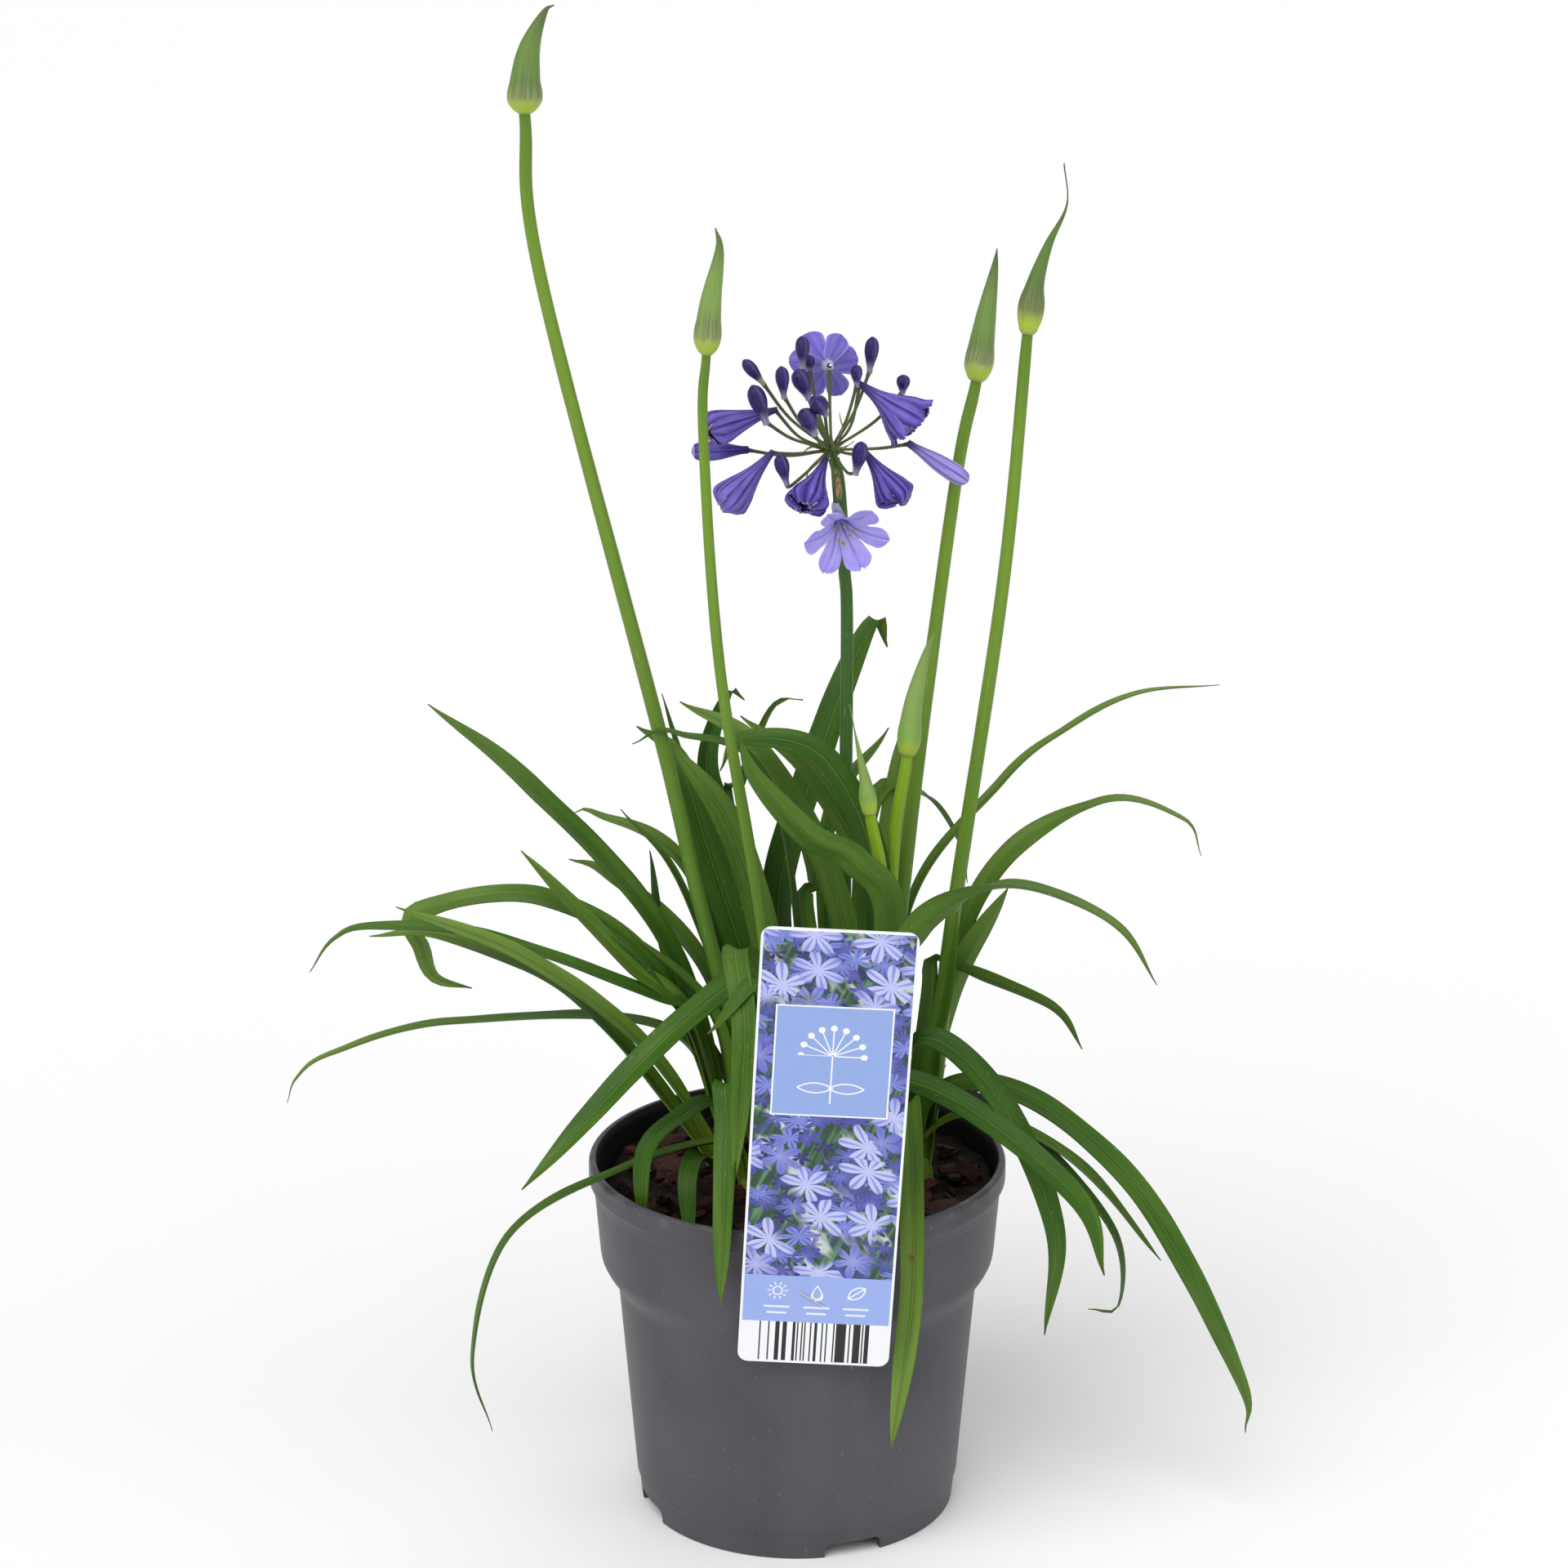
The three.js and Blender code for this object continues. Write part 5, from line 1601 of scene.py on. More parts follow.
SCAPES = (
    Scape(
        "scape_tall_left", ((-5, 22, 108), (-30.3, 18, 197), (-45.5, 15, 267), (-82, 7, 421), (-86, 4, 474)),
        Spathe(5.6, 0.85, ((-85.5, 3.5, 485), (-83.7, 3, 495), (-79, 2.5, 505.3), (-76, 2.3, 507.4)), 0.2, 0.3), 0.42,
    ),
    Scape(
        "scape_left", ((-2, 6, 108), (-12.1, 1, 206), (-25.3, -4, 295), (-30.2, -8, 374), (-29, -10, 400)),
        Spathe(4.4, 0.75, ((-27.6, -11, 416), (-24.7, -12, 433), (-25.9, -12, 440)), 0.3, 0.9), 0.5, 2.24, 1.56,
    ),
    Scape(
        "scape_flowering", ((15, 23, 108), (16.4, 24, 287), (15.4, 24, 322), (13.8, 24, 349), (11.8, 24, 358.5)),
        tone=0.05,
    ),
    Scape(
        "scape_young", ((25, -1, 108), (28.5, -2, 208), (23.8, -2, 245.5)),
        Spathe(2.9, 2, ((22.2, -2, 256), (19.6, -2, 268.5), (16.9, -2, 282.5)), 0.0, 1.5), 1.0,
    ),
    Scape(
        "scape_short", ((30, 9, 108), (31.4, 11, 217), (36.4, 12, 261.3)),
        Spathe(4.0, 0.85, ((38, 12, 277), (42.4, 12, 296), (45.8, 12, 304.5)), 3.0, 1.6), 0.92,
    ),
    Scape(
        "scape_right", ((27, 21, 108), (36, 29, 211), (51.7, 39, 342), (59, 42, 381)),
        Spathe(4.8, 0.8, ((61.3, 43.4, 398.5), (64.4, 45, 417), (65.3, 45.5, 424)), 0.1, 0.4), 0.52,
    ),
    Scape(
        "scape_far_right", ((40, 13, 108), (47, 11, 147), (51.5, 9, 201), (66.5, 3, 320), (73, -1, 405)),
        Spathe(4.2, 2, ((74.9, -1.7, 420), (79, -2.4, 433.3), (84.5, -3, 446), (83.3, -3.6, 459)), 0.0, 0.05), 0.48,
    ),
)


# leaves

@dataclass(frozen=True)
class Leaf:
    """One blade: greatest width, roll in degrees, the places of its midrib, tone, twist and where it twists."""

    width: float
    roll: float
    via: tuple[Place, ...]
    # tone: partly the blade's own colour, partly painted light and shade for how lit the blade stands
    tone: float = 0.45
    twist: float = 0.0
    twist_at: float = 0.55


@dataclass
class LeafFan:
    """One shoot: strap leaves that rise from a short sheathed neck."""

    name: str
    foot: tuple[float, float]
    leaves: tuple[Leaf, ...]
    soil_top: float = 108.0
    neck_bottom: float = 98.3
    neck_top: float = 122.0
    neck_radii: tuple[float, float] = (4.4, 3.5)
    row: float = 2.6
    thickness: float = 0.55
    base_share: float = 0.62
    full_from: float = 0.35
    taper_from: float = 0.5
    taper_power: float = 4.4
    twisting: float = 0.15

    def build(self, leaf_green: Material, husk: Material) -> None:
        """Builds the neck, its dry scales and the blades as one piece.

        Args:
            leaf_green: the finish of the blades and the neck.
            husk: the finish of the scales.
        """
        body = Body(self.name + "_leaves", leaf_green, husk)
        chance = Random(self.name)
        self._neck(body, chance)
        for leaf in self.leaves:
            self._blade(body, leaf, chance)
        body.finish("leaf_green", self.name, crisp=60)

    def half_width(self, width: float, share: float) -> float:
        """Half of a blade's width at a share of its length.

        Args:
            width: the blade's greatest width.
            share: the share along it.

        Returns:
            Half of its width there.
        """
        opening = lerp(self.base_share, 1.0, smooth(share, 0.0, self.full_from))
        closing = max(0.0, (share - self.taper_from) / (1 - self.taper_from)) ** self.taper_power
        return max(0.22, width * opening * (1 - closing) / 2)

    def _blade(self, body: Body, leaf: Leaf, chance: Random) -> None:
        """Bends one blade: channelled, creased down its middle, faintly rippled and swaying.

        Args:
            body: the body that it joins.
            leaf: its record.
            chance: the source of its unevenness.
        """
        path = Path([(*self.foot, self.soil_top), *leaf.via])
        tip = leaf.via[-1]
        heading = Vector((tip[0] - self.foot[0], tip[1] - self.foot[1], 0)).normalized()
        rows = max(24, round(path.length / self.row))
        stations = path.frames(rows, UP.cross(heading), carried=False)
        phase, sway, curl = chance.uniform(0, 9), chance.uniform(4, 9), chance.uniform(0.7, 1.3)
        tone = min(max(leaf.tone + chance.uniform(-0.01, 0.01), 0.0), 1.0)

        def shape(across: float, share: float) -> Vector:
            """The place on the blade's upper face."""
            centre, flat, along = stations[round(share * rows)]
            twist = leaf.twist * smooth(share, leaf.twist_at, leaf.twist_at + self.twisting)
            roll = radians(leaf.roll + twist + sway * ripple(share * 2.4, phase))
            sideways = flat * cos(roll) + flat.cross(along) * sin(roll)
            upward = along.cross(sideways)
            half = self.half_width(leaf.width, share)
            half *= 1 + 0.05 * ripple(share * 7, phase, across)
            open_out = 1 - 0.45 * share
            channel = 0.17 * curl * open_out * half * (abs(across) ** 1.6) - 0.1 * half
            crease = -0.22 * exp(-((across / 0.14) ** 2)) * (1 - share)
            ruffle = 0.13 * half * across ** 3 * ripple(share * path.length * 0.05, phase + across)
            fold = half * abs(across) * (0.45 - 0.29 * smooth(share, 0.0, 0.22))
            return centre - sideways * across * half + upward * (channel + crease + ruffle + fold + 0.27)

        body.ribbon(12, rows, shape, self.thickness, length=path.length, tone=tone, keel=0.4, fade=0.8)

    def _neck(self, body: Body, chance: Random) -> None:
        """Wraps the sheathing leaf bases one in another, each with a slanted mouth, and two dry scales.

        Args:
            body: the body that it joins.
            chance: the source of its unevenness.
        """
        x, y = self.foot
        bottom, top = self.neck_radii
        for number in range(3):
            slant, turn = chance.uniform(1.5, 3.2), chance.uniform(0, TURN)
            high = self.neck_top - 3.6 * number + chance.uniform(-0.6, 0.6)
            grow = 0.84 + 0.08 * number

            def shape(angle: float, share: float) -> Vector:
                """The place on one sheath."""
                lip = slant * cos(angle - turn) * smooth(share, 0.3, 1.0)
                height = lerp(self.neck_bottom, high, share) + lip
                radius = lerp(bottom, top, share) * grow * (1 - 0.22 * smooth(share, 0.88, 1.0))
                radius *= 1 + 0.05 * cos(2 * (angle - turn)) + 0.015 * cos(9 * angle)
                return Vector((x + radius * cos(angle), y + radius * sin(angle), height))

            sheath = body.wrap(24, 12, shape, length=high - self.neck_bottom, tone=0.9)
            for vert in sheath:
                wind = atan2(vert.co.y - y, vert.co.x - x)
                body.mark([vert], across=0.55 + 0.35 * sin(3 * wind), share=0.1)
        for number in range(2):
            self._scale(body, chance)

    def _scale(self, body: Body, chance: Random) -> None:
        """Leaves a dry, split scale standing at the neck.

        Args:
            body: the body that it joins.
            chance: the source of its unevenness.
        """
        x, y = self.foot
        turn, height = chance.uniform(0, TURN), chance.uniform(4, 11)
        spread, flare = chance.uniform(0.45, 0.8), chance.uniform(0.4, 2.4)

        def shape(across: float, share: float) -> Vector:
            """The place on the scale."""
            angle = turn + across * spread * (1 - share ** 2 * 0.8)
            radius = self.neck_radii[0] * 0.99 + flare * share ** 2 + 0.3 * ripple(share * 3, across * 2, turn)
            lift = self.soil_top - 2 + height * share - 1.2 * abs(across) * share
            return Vector((x + radius * cos(angle), y + radius * sin(angle), lift))

        body.ribbon(6, 8, shape, 0.22, finish=1, length=height)


FANS = (
    LeafFan("fan_left_low", (-27, 6), (
        Leaf(8.6, 20, ((-28.5, 5, 123.5), (-52, 3, 162.5), (-90.5, -3.2, 195.3), (-132.5, -8, 214.5)), 0.92),
        Leaf(8.2, 15, ((-36.5, 7, 130), (-75.5, 11, 177.3), (-118, 13, 197), (-144, 16, 196)), 0.82),
    )),
    LeafFan("fan_front_left", (-17, -8), (
        Leaf(9.8, 16, ((-11, -11, 187), (-37, -29, 182.5), (-89, -62, 136.5)), 0.4),
        Leaf(7.4, 10, ((-26, -14, 146), (-39, -28, 148), (-50, -38, 139), (-51, -40, 110.5)), 0.32),
        Leaf(6, -10,
             ((-22.5, -12, 133), (-58.5, -31, 131), (-95, -38, 110.5), (-108, -38, 67.5), (-102, -38, 39.5)), 0.58),
        Leaf(6.4, 15, ((-31, -20, 131), (-36, -36, 131), (-35.2, -45, 110)), 0.22),
    )),
    LeafFan("fan_left", (-21, 15), (
        Leaf(9.8, 15, ((-43, 27, 188), (-90, 38, 242), (-125, 45, 269)), 0.5),
        Leaf(8.5, 25, ((-37, 16, 166.5), (-57.5, 15, 187.5), (-92.5, 14, 227)), 0.72),
        Leaf(7, 10,
             ((-35, 12, 167), (-48, 10, 177), (-103, 4, 200), (-141, 1, 204.5), (-154, -2, 201),
              (-162, -3, 190)), 0.5),
        Leaf(7.1, 0,
             ((-42, 19, 160.5), (-116, 17, 165), (-157, 12, 155.5), (-169.5, 11, 147), (-173, 11, 138)), 0.73),
        Leaf(7.5, -40, ((-27, 16, 165.5), (-57, 16, 198)), 0.85),
        Leaf(9.4, 20,
             ((-45, 21, 178.5), (-86, 22, 207.5), (-127.5, 20, 203), (-126.5, 19, 191), (-122.5, 19, 180.5),
              (-110, 18, 177)), 0.64, 55, 0.76),
    )),
    LeafFan("fan_back_left", (-7, 32), (
        Leaf(8.5, 10, ((-33, 47, 176), (-65, 57, 204), (-79, 60, 209)), 0.62),
        Leaf(7.5, 10, ((-35, 50, 204), (-69, 58, 226), (-78, 60, 225)), 0.67),
        Leaf(5, 15, ((-38, 36, 204), (-60, 38, 234)), 0.46),
        Leaf(6, 0, ((-43, 47, 171), (-51, 58, 213)), 0.27),
    )),
    LeafFan("fan_front", (-3, -14), (
        Leaf(8.5, 0, ((-9.5, -22, 187.5), (-20, -38, 210), (-17, -58, 188.5), (-20.5, -67, 140)), 0.53),
        Leaf(7.6, 0, ((-22, -46, 166), (-23, -58, 157), (-24, -71, 128), (-25, -70, 100)), 0.48),
        Leaf(6.5, 20, ((-10, -46, 198.5), (-29, -58, 188.5)), 0.39),
    )),
    LeafFan("fan_centre", (7, 17), (
        Leaf(10.6, 45, ((-18, 36, 216), (-42.5, 45, 255.5)), 0.63),
        Leaf(11, 38, ((-28.5, 44, 212), (-41, 55, 247), (-55, 60, 257)), 0.37),
        Leaf(9, -5, ((-20, 49, 210), (-31, 61, 242), (-24, 70, 266), (-18, 72, 263)), 0.19),
        Leaf(5.5, -20, ((-37, 67, 233), (-47, 80, 263)), 0.2),
        Leaf(6.5, -50, ((-23, 48, 228), (-20, 51, 239), (-9, 59, 264), (2, 62, 266)), 0.5),
        Leaf(5.5, 20, ((-7, 19, 242), (-40, 13, 268), (-54.5, 9, 265.5)), 0.37),
    )),
    LeafFan("fan_centre_front", (15, -2), (
        Leaf(10.4, -58,
             ((30.5, -14, 207), (19, -14, 232), (3.5, -15, 241.5), (-13.5, -18, 262), (-19, -20, 276.5)), 0.44),
        Leaf(10, 52, ((27.5, 5, 207), (10.5, 8, 259), (-17.5, 9, 267.5), (-25.5, 10, 256)), 0.31),
        Leaf(8.5, 38, ((24, 12, 205.5), (7, 19, 249.5), (-19, 24, 271)), 0.61),
        Leaf(9.2, 36, ((16, 16, 198), (-12, 29, 256), (-39.5, 36, 272.5)), 0.71),
    )),
    LeafFan("fan_back", (19, 33), (
        Leaf(7.4, 42, ((2.5, 38, 195.5), (6, 39, 208.5), (0, 40, 226.5)), 0.56),
        Leaf(12.2, 15, ((-6.5, 59, 184.5), (8.5, 72, 245.5), (26, 85, 287), (31.5, 88, 277.5)), 0.36),
        Leaf(6.5, 8, ((10, 53, 216.5), (31.5, 60, 256.5)), 0.5),
        Leaf(9.6, -25, ((34, 62, 231), (40, 70, 261)), 0.68),
        Leaf(6.5, -15, ((24.5, 60, 222), (42.5, 64, 232), (56, 68, 213.5), (59.5, 72, 196.5)), 0.75),
    )),
    LeafFan("fan_right_back", (37, 26), (
        Leaf(6.5, 5,
             ((37.5, 40, 194.5), (70.5, 47, 241.5), (93, 52, 259), (116.5, 57, 269.5), (144.5, 62, 271)), 0.89),
        Leaf(8, -40, ((61.5, 28, 206.5), (101, 29, 238.9), (130, 30, 233), (136.5, 30, 220)), 0.74, 38, 0.62),
        Leaf(9.2, 62, ((52.5, 24, 174), (71, 22, 211)), 1),
        Leaf(7, 32,
             ((45, 23, 170.5), (46, 21, 186), (55, 18, 184), (78.5, 12, 176.5), (89, 9, 170.5),
              (96, 8, 158.5)), 0.48, 25),
        Leaf(5, -5, ((45, 23, 133), (51, 21, 148)), 0.4),
    )),
    LeafFan("fan_right_front", (31, -14), (
        Leaf(10.4, 55,
             ((33.5, -26, 195.5), (37.5, -29, 212), (47.5, -31, 222.5), (64, -34, 230.5), (82, -38, 229),
              (103, -43, 219), (115.5, -45, 200.5)), 0.61, -50),
        Leaf(8.8, -30, ((36, -30, 154), (37, -62, 136), (37, -64, 97), (31, -60, 44)), 0.89),
        Leaf(8.5, -32, ((26, -24, 156.5), (51.5, -32, 156), (90.5, -52, 130), (100, -56, 104)), 0.34),
        Leaf(8.6, -30, ((38.5, -19, 171), (64.5, -31, 158.5), (84.3, -40, 114.5), (81.8, -42, 76.5)), 0.37),
    )),
    LeafFan("fan_right_low", (43, -1), (
        Leaf(9.5, -25,
             ((46.5, 0, 145.5), (76, -12, 149.5), (115, -27, 119), (148.4, -32, 55.5), (150.8, -32, 36)), 0.49),
        Leaf(5.5, 5, ((50, -2, 147), (78, -18, 137), (104.5, -30, 109), (107, -32, 83), (97, -32, 81.5)), 0.24),
        Leaf(5.5, -5, ((42, -2, 130), (61, -12, 143), (93, -23, 130), (121, -28, 97)), 0.65),
        Leaf(7.6, -20, ((45.5, 1, 159.5), (49, 2, 179), (53.5, 4, 209)), 0.5),
    )),
)


# the umbel

class Stage(Enum):
    """How far a floret has come."""

    OPEN = "open"
    HALF = "half"
    SHUT = "shut"
    BUD = "bud"


@dataclass(frozen=True)
class Floret:
    """One floret, from the head's centre: where its stalk ends, where its mouth or tip lies, its girth.

    The girth is a bud's radius, or half the breadth of an open flower's tepals.
    """

    stage: Stage
    base: Place
    mouth: Place
    girth: float = 2.6
    hook: Place | None = None
    tone: float = 0.3
    wide: float = 1.0


FLORETS = (
    Floret(Stage.OPEN, (-0.7, 8, 26.2), (-2.4, 27.7, 23), 5.0, tone=0.1, wide=0.87),
    Floret(Stage.OPEN, (1.3, -8, -17.1), (4.9, -25.9, -25.2), 4.0, (0.5, -7, -7.8), 0.9, 1.06),
    Floret(Stage.HALF, (-18.4, -4, 14), (-39.6, -10, 8.6), hook=(-10.5, -2.4, 4.8), wide=1.15),
    Floret(Stage.HALF, (-19.4, -8, 0.7), (-34.4, -14, -15.6), tone=0.6, wide=1.2),
    Floret(Stage.HALF, (-2.1, -16, 0.1), (-8.8, -28, -13.1), tone=-0.5, wide=1.39),
    Floret(Stage.HALF, (11, -14, 2), (22, -20, -12.6), tone=-0.5, wide=1.2),
    Floret(Stage.HALF, (9.3, 4, 21.1), (27, 2, 8.4), hook=(6.4, 2.4, 7.6), wide=1.6),
    Floret(Stage.SHUT, (-27.9, 2, -0.5), (-45.6, 0, -0.7), 2.6, (-14, 1, -2.2)),
    Floret(Stage.SHUT, (25.7, 6, 0.6), (45, 4, -11.6), 2.5, tone=2.0),
    Floret(Stage.BUD, (-9.5, 6, 26.3), (-9.5, 8, 36.1), 1.9),
    Floret(Stage.BUD, (-7.1, 14, 23.4), (-7.2, 15, 28.5), 1.3, tone=0.45),
    Floret(Stage.BUD, (-22.4, -4, 23), (-28.6, -5, 30.6), 1.6, tone=1.0),
    Floret(Stage.BUD, (-15.5, -10, 19.7), (-16.4, -11, 29.7), 1.8, tone=0.1),
    Floret(Stage.BUD, (-7.5, -2, 17.8), (-11.4, -3, 27.1), 2.6),
    Floret(Stage.BUD, (-2.3, -16, 15.4), (-5.5, -25, 21.8), 2.5, tone=0.2),
    Floret(Stage.BUD, (-5.7, -20, 9.8), (-9.5, -22, 18), 2.6, tone=0.2),
    Floret(Stage.BUD, (-21.3, -12, 11.7), (-25.7, -13, 23.9), 2.5, tone=0.4),
    Floret(Stage.BUD, (-14.7, -22, -6), (-17.1, -23, 3.3), 1.9, (-13, -16, -8.3)),
    Floret(Stage.BUD, (7.7, -20, -3.2), (9.6, -21, 7.1), 2.1, (4.9, -13, -4.6)),
    Floret(Stage.BUD, (12.6, 10, 24.2), (13.5, 10, 35.4), 1.9, tone=0.45),
    Floret(Stage.BUD, (8.2, -2, 22), (7.9, -2, 28.5), 1.5, tone=0.48),
    Floret(Stage.BUD, (23.5, 14, 16.2), (23.8, 15, 21.9), 1.8, tone=0.1),
)


@dataclass
class Umbel:
    """The flower head: a boss with dry bracts, pedicels, buds, trumpets and open flowers."""

    centre: Place = (11, 24, 361.5)
    boss: float = 2.7
    pedicel: tuple[float, float] = (0.44, 0.58)
    bend_at: float = 0.6
    open_tepal: tuple[Place, ...] = (
        (0.9, 0, 0.2), (1.5, 5, 0.28), (2.4, 10, 0.45), (4.4, 13.6, 0.66), (7.4, 16.8, 0.88), (10.4, 18.8, 1.0),
        (12.6, 19.8, 0.8), (13.3, 20, 0.42),
    )
    trumpet_tepal: tuple[Place, ...] = (
        (0.9, 0, 0.75), (1.3, 0.12, 1.1), (2.1, 0.3, 1.8), (3.4, 0.52, 2.7), (4.7, 0.74, 3.3), (5.2, 0.9, 3.2),
        (5.0, 1.02, 2.4), (4.2, 1.08, 0.8),
    )
    bud_profile: tuple[tuple[float, float], ...] = (
        (0.0, 0.36), (0.14, 0.4), (0.32, 0.62), (0.52, 0.93), (0.68, 1.0), (0.82, 0.92), (0.93, 0.62), (1.0, 0.16),
    )
    shut_profile: tuple[tuple[float, float], ...] = (
        (0.0, 0.38), (0.14, 0.44), (0.32, 0.66), (0.52, 0.9), (0.75, 1.0), (0.9, 0.88), (0.97, 0.62), (1.0, 0.22),
    )
    bracts: tuple[tuple[float, tuple[Place, ...]], ...] = (
        (0.9, ((1.5, -1, 2), (3.4, -3, 8), (3.0, -3, 10), (2.6, -3.2, 13))),
        (1.3, ((2, -2, 1), (5, -5, 2.4), (7.4, -6, 4.2))),
        (0.8, ((-2, -2, -1), (-5, -6, -3), (-7.8, -7, -6), (-7.6, -7.5, -9), (-5.6, -7, -10.8))),
        (1.5, ((-1, -2.4, 1), (-3.5, -4.4, 2.6), (-4.6, -5, 4.6))),
        (1.2, ((0.5, 2.5, 0), (2, 6, -1), (3, 8, -3.5))),
        (1.1, ((-2.4, 1, 0), (-6, 3, 0.4), (-9, 4, -1.5))),
    )

    def build(self) -> None:
        """Builds the whole head as one piece."""
        head = Body(
            "flower_umbel",
            PedicelFinish().material(),
            FloretBudFinish().material(),
            TepalFinish(Bloom.TRUMPET).material(),
            TepalFinish(Bloom.OPEN).material(),
            SpeckledFinish("dry bract", (0.15, 0.075, 0.045), (0.42, 0.33, 0.2), 700.0, 0.8, 0.3).material(),
            SpeckledFinish("filament", (0.56, 0.54, 0.86), (0.7, 0.69, 0.9), 500.0, 0.5).material(),
            SpeckledFinish("anther", (0.26, 0.23, 0.04), (0.52, 0.42, 0.11), 1800.0, 0.8, 0.2).material(),
        )
        self._boss(head)
        for number, floret in enumerate(FLORETS):
            chance = Random(number + 40)
            self._pedicel(head, floret, chance)
            base, mouth = self._from_head(floret.base), self._from_head(floret.mouth)
            axis = (mouth - base).normalized()
            base -= axis * 0.8
            if floret.stage is Stage.OPEN:
                self._open_flower(head, base, axis, floret, chance)
            elif floret.stage is Stage.HALF:
                self._trumpet(head, base, mouth, floret, chance)
            elif floret.stage is Stage.SHUT:
                self._bud(head, base, mouth, floret, self.shut_profile, 6)
            else:
                self._bud(head, base, mouth, floret, self.bud_profile, 3)
        head.finish("umbel_violet", "umbel", crisp=70)

    def _from_head(self, place: Sequence[float]) -> Vector:
        """A place measured from the head's centre."""
        return Vector(self.centre) + Vector(place)

    def _boss(self, head: Body) -> None:
        """Swells the scape's end and hangs the dry bracts and scraps of the spathe on it.

        Args:
            head: the body that it joins.
        """
        made = bmesh.ops.create_icosphere(
            head.mesh, subdivisions=3, radius=self.boss, matrix=Matrix.Translation(self.centre)
        )["verts"]
        for vert in made:
            way = (vert.co - Vector(self.centre)).normalized()
            vert.co += way * 0.55 * ripple(way.x * 3.1, way.y * 3.1, way.z * 3.1)
            head.mark([vert], tone=0.3, turn_x=way.x, turn_y=way.y)
        for number, (width, via) in enumerate(self.bracts):
            path = Path([self._from_head(place) for place in via])
            stations = path.frames(14, Vector((0.4, 1.0, 0.3 * number)))

            def shape(across: float, share: float) -> Vector:
                """The place on the bract."""
                centre, side, along = stations[round(share * 14)]
                half = 0.5 * width * (1 - share ** 3) + 0.06
                curl = 0.5 * half * abs(across) + 0.2 * ripple(share * 5, across, number)
                return centre + side * across * half + side.cross(along) * curl

            head.ribbon(4, 14, shape, 0.12, finish=4, length=path.length)
        chance = Random(3)
        for _ in range(14):
            angle, lift = chance.uniform(0, TURN), chance.uniform(-0.3, 1.2)
            way = Vector((cos(angle), sin(angle), lift)).normalized()
            path = Path([self._from_head(way * 2.2), self._from_head(way * chance.uniform(3.4, 5.0))])
            head.rod(path, lambda turn, share: 0.42 * (1.05 - share), 5, 4, tone=0.2, finish=chance.choice((0, 4)))

    def _pedicel(self, head: Body, floret: Floret, chance: Random) -> None:
        """Runs the floret's stalk out from the boss, swelling under the floret.

        Args:
            head: the body that it joins.
            floret: its record.
            chance: the source of its unevenness.
        """
        x, y, z = floret.base
        rise = 0.5 * z - 0.65 if z > 0 else 0.3 * z
        bend = Vector(floret.hook or (self.bend_at * x, self.bend_at * y, rise))
        places = [bend.normalized() * 0.4 * self.boss, bend, Vector(floret.base)]
        path = Path([self._from_head(place) for place in places])
        thin, thick = self.pedicel
        seed = chance.uniform(0, 9)

        def radius(angle: float, share: float) -> float:
            """The stalk's radius."""
            swell = 0.3 * smooth(share, 0.9, 1.0) + 0.35 * (1 - smooth(share, 0.0, 0.16))
            return (lerp(thin, thick, share) + swell) * (1 + 0.06 * ripple(share * 9, seed))

        head.rod(path, radius, 10, max(10, round(path.length / 1.3)), tone=chance.random())

    def _bud(
        self, head: Body, base: Vector, mouth: Vector, floret: Floret, profile: Sequence[tuple[float, float]],
        lobes: int,
    ) -> None:
        """Swells a closed bud with faint seams and a notched, blunt tip.

        Args:
            head: the body that it joins.
            base: its foot.
            mouth: its tip.
            floret: its record.
            profile: its radius, as a share of its girth, at shares of its length.
            lobes: how many folds run down it.
        """
        path = Path([base, base.lerp(mouth, 0.5), mouth])
        outline = Path([(share, width, 0) for share, width in profile])
        places = [outline.at(number / 60) for number in range(61)]
        long = lobes == 6

        def radius(angle: float, share: float) -> float:
            """The bud's radius."""
            wide = next((p.y for p in places if p.x >= share), places[-1].y)
            fold = (0.075 if long else 0.03) * cos(lobes * angle) * smooth(share, 0.1, 0.5)
            notch = 0.16 * cos(3 * angle + 1) * smooth(share, 0.86, 1.0)
            return (floret.girth + 0.35) * wide * (1 + fold + notch) + 0.12

        def seam(angle: float, share: float) -> float:
            """Where two tepals meet."""
            return abs(cos(lobes * angle / 2 + 0.5 * pi)) ** 14

        head.rod(path, radius, 24 if long else 18, 26 if long else 18, finish=2 if long else 1,
                 tone=floret.tone, seam=seam)

    def _round_axis(
        self, base: Vector, axis: Vector, angle: float
    ) -> Callable[[float, float, float, float], Vector]:
        """Gives the places of one tepal.

        Args:
            base: the flower's foot.
            axis: its direction.
            angle: where round the axis the tepal stands.

        Returns:
            A function of distances out, along and sideways, and of how flat the tepal lies.
        """
        first = axis.cross(UP).normalized()
        out = Matrix.Rotation(angle, 3, axis) @ first
        side = axis.cross(out)

        def place(radius: float, height: float, aside: float, flatness: float) -> Vector:
            """Bends the tepal's width round the axis, or leaves it flat.

            Args:
                radius: how far out from the axis.
                height: how far along it.
                aside: how far sideways.
                flatness: 0 where bent round the axis, 1 where flat.

            Returns:
                The place.
            """
            turn = aside / max(radius, 0.8)
            bent_out = lerp(radius * cos(turn), radius, flatness)
            bent_aside = lerp(radius * sin(turn), aside, flatness)
            return base + axis * height + out * bent_out + side * bent_aside

        return place

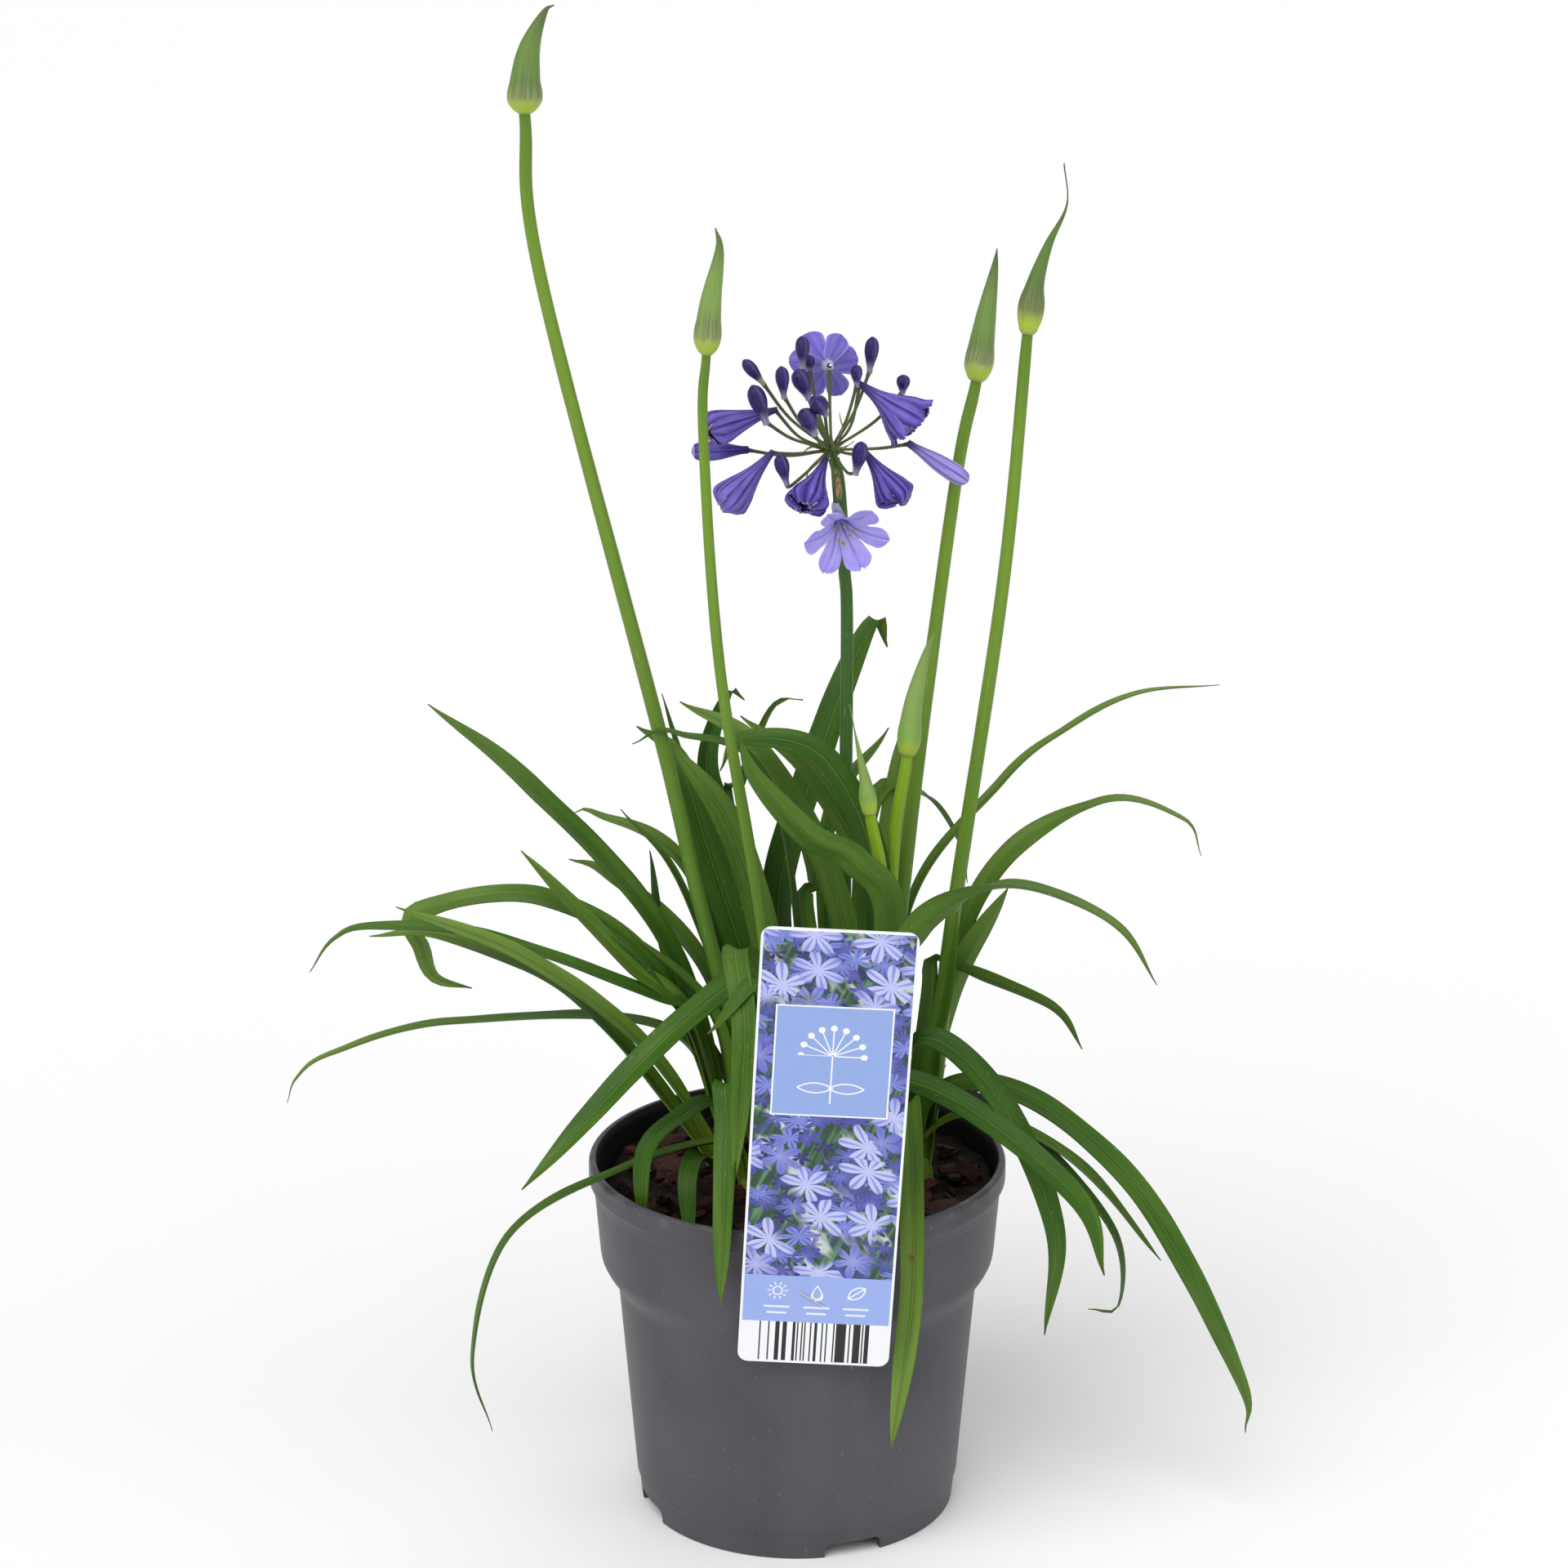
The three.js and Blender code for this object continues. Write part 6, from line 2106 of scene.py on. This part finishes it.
    def _open_flower(self, head: Body, base: Vector, axis: Vector, floret: Floret, chance: Random) -> None:
        """Spreads six broad tepals, three over three, with stamens and a style in the throat.

        Args:
            head: the body that it joins.
            base: its foot.
            axis: its direction.
            floret: its record.
            chance: the source of its unevenness.
        """
        profile = Path(self.open_tepal)
        for number in range(6):
            inner = number % 2 == 0
            angle = TURN * number / 6 + chance.uniform(-0.07, 0.07)
            place = self._round_axis(base, axis, angle)
            droop, phase, reach = chance.uniform(-1.6, 0.4), chance.uniform(0, 9), chance.uniform(0.92, 1.02)
            lean = chance.uniform(-0.9, 0.9)

            def shape(across: float, share: float) -> Vector:
                """The place on the tepal's inner face."""
                radius, height, half = profile.at(share)
                half *= floret.girth * (1.08 if inner else 0.92)
                half *= sqrt(max(0.0, 1 - max(0.0, (share - 0.84) / 0.165) ** 2.6))
                spread = smooth(share, 0.42, 0.75)
                cup = 0.75 * (across ** 2) * spread * (1.0 if inner else 0.5)
                groove = -0.45 * exp(-((across / 0.2) ** 2)) * smooth(share, 0.3, 0.6)
                wave = 0.95 * ripple(share * 5.5, across * 1.6, phase) * spread * abs(across)
                frill = 0.4 * ripple(share * 13, across * 2, phase + 5) * spread * across * across
                lift = (0.35 if inner else -0.25) * smooth(share, 0.35, 0.5) + droop * spread * share
                out = lerp(radius, radius * reach, spread) * lerp(1, floret.wide, spread)
                out += (0.0 if inner else 0.18) * (1 - spread)
                aside = -across * half * lerp(1, floret.wide, spread) + lean * spread * share
                return place(out, height + cup + groove + wave + frill + lift, aside, spread)

            tone = floret.tone * 0.7 + chance.uniform(0, 0.3)
            head.ribbon(12, 30, shape, 0.2, finish=3, length=profile.length, tone=tone)
        self._stamens(head, base, axis, 16.5, chance)

    def _stamens(self, head: Body, base: Vector, axis: Vector, reach: float, chance: Random) -> None:
        """Stands six curved filaments with anthers round a style.

        Args:
            head: the body that it joins.
            base: the flower's foot.
            axis: the flower's direction.
            reach: how far along the axis they end.
            chance: the source of its unevenness.
        """
        for number in range(7):
            place = self._round_axis(base, axis, TURN * (number + 0.5) / 6)
            spread = 0.4 if number == 6 else chance.uniform(2.2, 4.2)
            tall = reach + chance.uniform(-1.5, 1.2)
            start = place(0.4, tall * 0.45, 0, 1)
            places = [start, place(0.7 + spread * 0.4, tall * 0.8, 0, 1), place(spread, tall, 0, 1)]
            path = Path(places)
            head.rod(path, lambda angle, share: 0.26 * (1.1 - 0.4 * share), 6, 10, finish=5)
            if number < 6:
                tip, way = path.at(1.0), Vector([chance.uniform(-1, 1) for _ in range(3)]).normalized()
                sac = Path([tip - way * 0.75, tip, tip + way * 0.75])
                head.rod(sac, lambda angle, share: 0.12 + 0.42 * sin(pi * share) ** 0.6, 8, 8, finish=6)

    def _trumpet(self, head: Body, base: Vector, mouth: Vector, floret: Floret, chance: Random) -> None:
        """Folds six pleated tepals to a trumpet with a crinkled mouth, the wider the more it has opened.

        Args:
            head: the body that it joins.
            base: its foot.
            mouth: its mouth or tip.
            floret: its record.
            chance: the source of its unevenness.
        """
        axis = (mouth - base).normalized()
        length = (mouth - base).length
        profile = Path([(radius, height * 10, half) for radius, height, half in self.trumpet_tepal])
        twist = chance.uniform(0, 1)
        narrow = floret.wide < 1.4
        for number in range(6):
            inner = number % 2 == 0
            place = self._round_axis(base, axis, TURN * number / 6 + twist)
            phase, shrink = chance.uniform(0, 9), chance.uniform(0.9, 1.03)
            close = chance.uniform(2.4, 4.4) if narrow else chance.uniform(-3.2, 0.4)
            layer = -0.3 if inner else 0.25

            def shape(across: float, share: float) -> Vector:
                """The place on the tepal's outer face."""
                radius, height, half = profile.at(share)
                wide = lerp(1, floret.wide, smooth(share, 0.2, 1.0))
                open_up = smooth(share, 0.25, 0.85)
                pleat = (1.15 * cos(across * 0.5 * pi) - 0.72) * open_up
                keel = 0.32 * exp(-((across / 0.13) ** 2)) * open_up
                crinkle = 0.6 * ripple(share * 6, across * 2.2, phase) * smooth(share, 0.5, 1.0)
                crinkle += 0.26 * ripple(share * 16, across * 5, phase) * open_up
                out = radius * wide + pleat + keel + crinkle - close * smooth(share, 0.76, 1.0) + layer * open_up
                up = height / 10 * length * lerp(1.0, shrink, open_up)
                up += 0.8 * ripple(across * 3, phase) * smooth(share, 0.75, 1)
                return place(max(out, 0.5), up, across * half * wide * (1.0 if inner else 0.95), 0.0)

            tone = min(1.0, floret.tone + chance.uniform(-0.1, 0.2))
            head.ribbon(12, 30, shape, 0.2, finish=2, length=length, tone=tone)
        self._stamens(head, base, axis, length * (0.86 if narrow else 1.0), chance)


# the whole plant


def main() -> None:
    """Builds the studio, then the plant from the pot up."""
    logging.basicConfig(level=logging.INFO, format="%(name)s: %(message)s")
    Studio().set_up()
    NurseryPot().build()
    feet = [fan.foot for fan in FANS] + [scape.stalk[0][:2] for scape in SCAPES]
    Compost(feet).build()
    PictureLabel().build()
    stalk_green, spathe_green = StalkFinish().material(), SpatheFinish().material()
    for scape in SCAPES:
        scape.build(stalk_green, spathe_green)
    Umbel().build()
    leaf_green = LeafFinish().material()
    husk = SpeckledFinish("dry scale", (0.2, 0.11, 0.055), (0.48, 0.38, 0.23), 500.0, 0.75, 0.3).material()
    for fan in FANS:
        fan.build(leaf_green, husk)


if __name__ == "__main__":
    main()
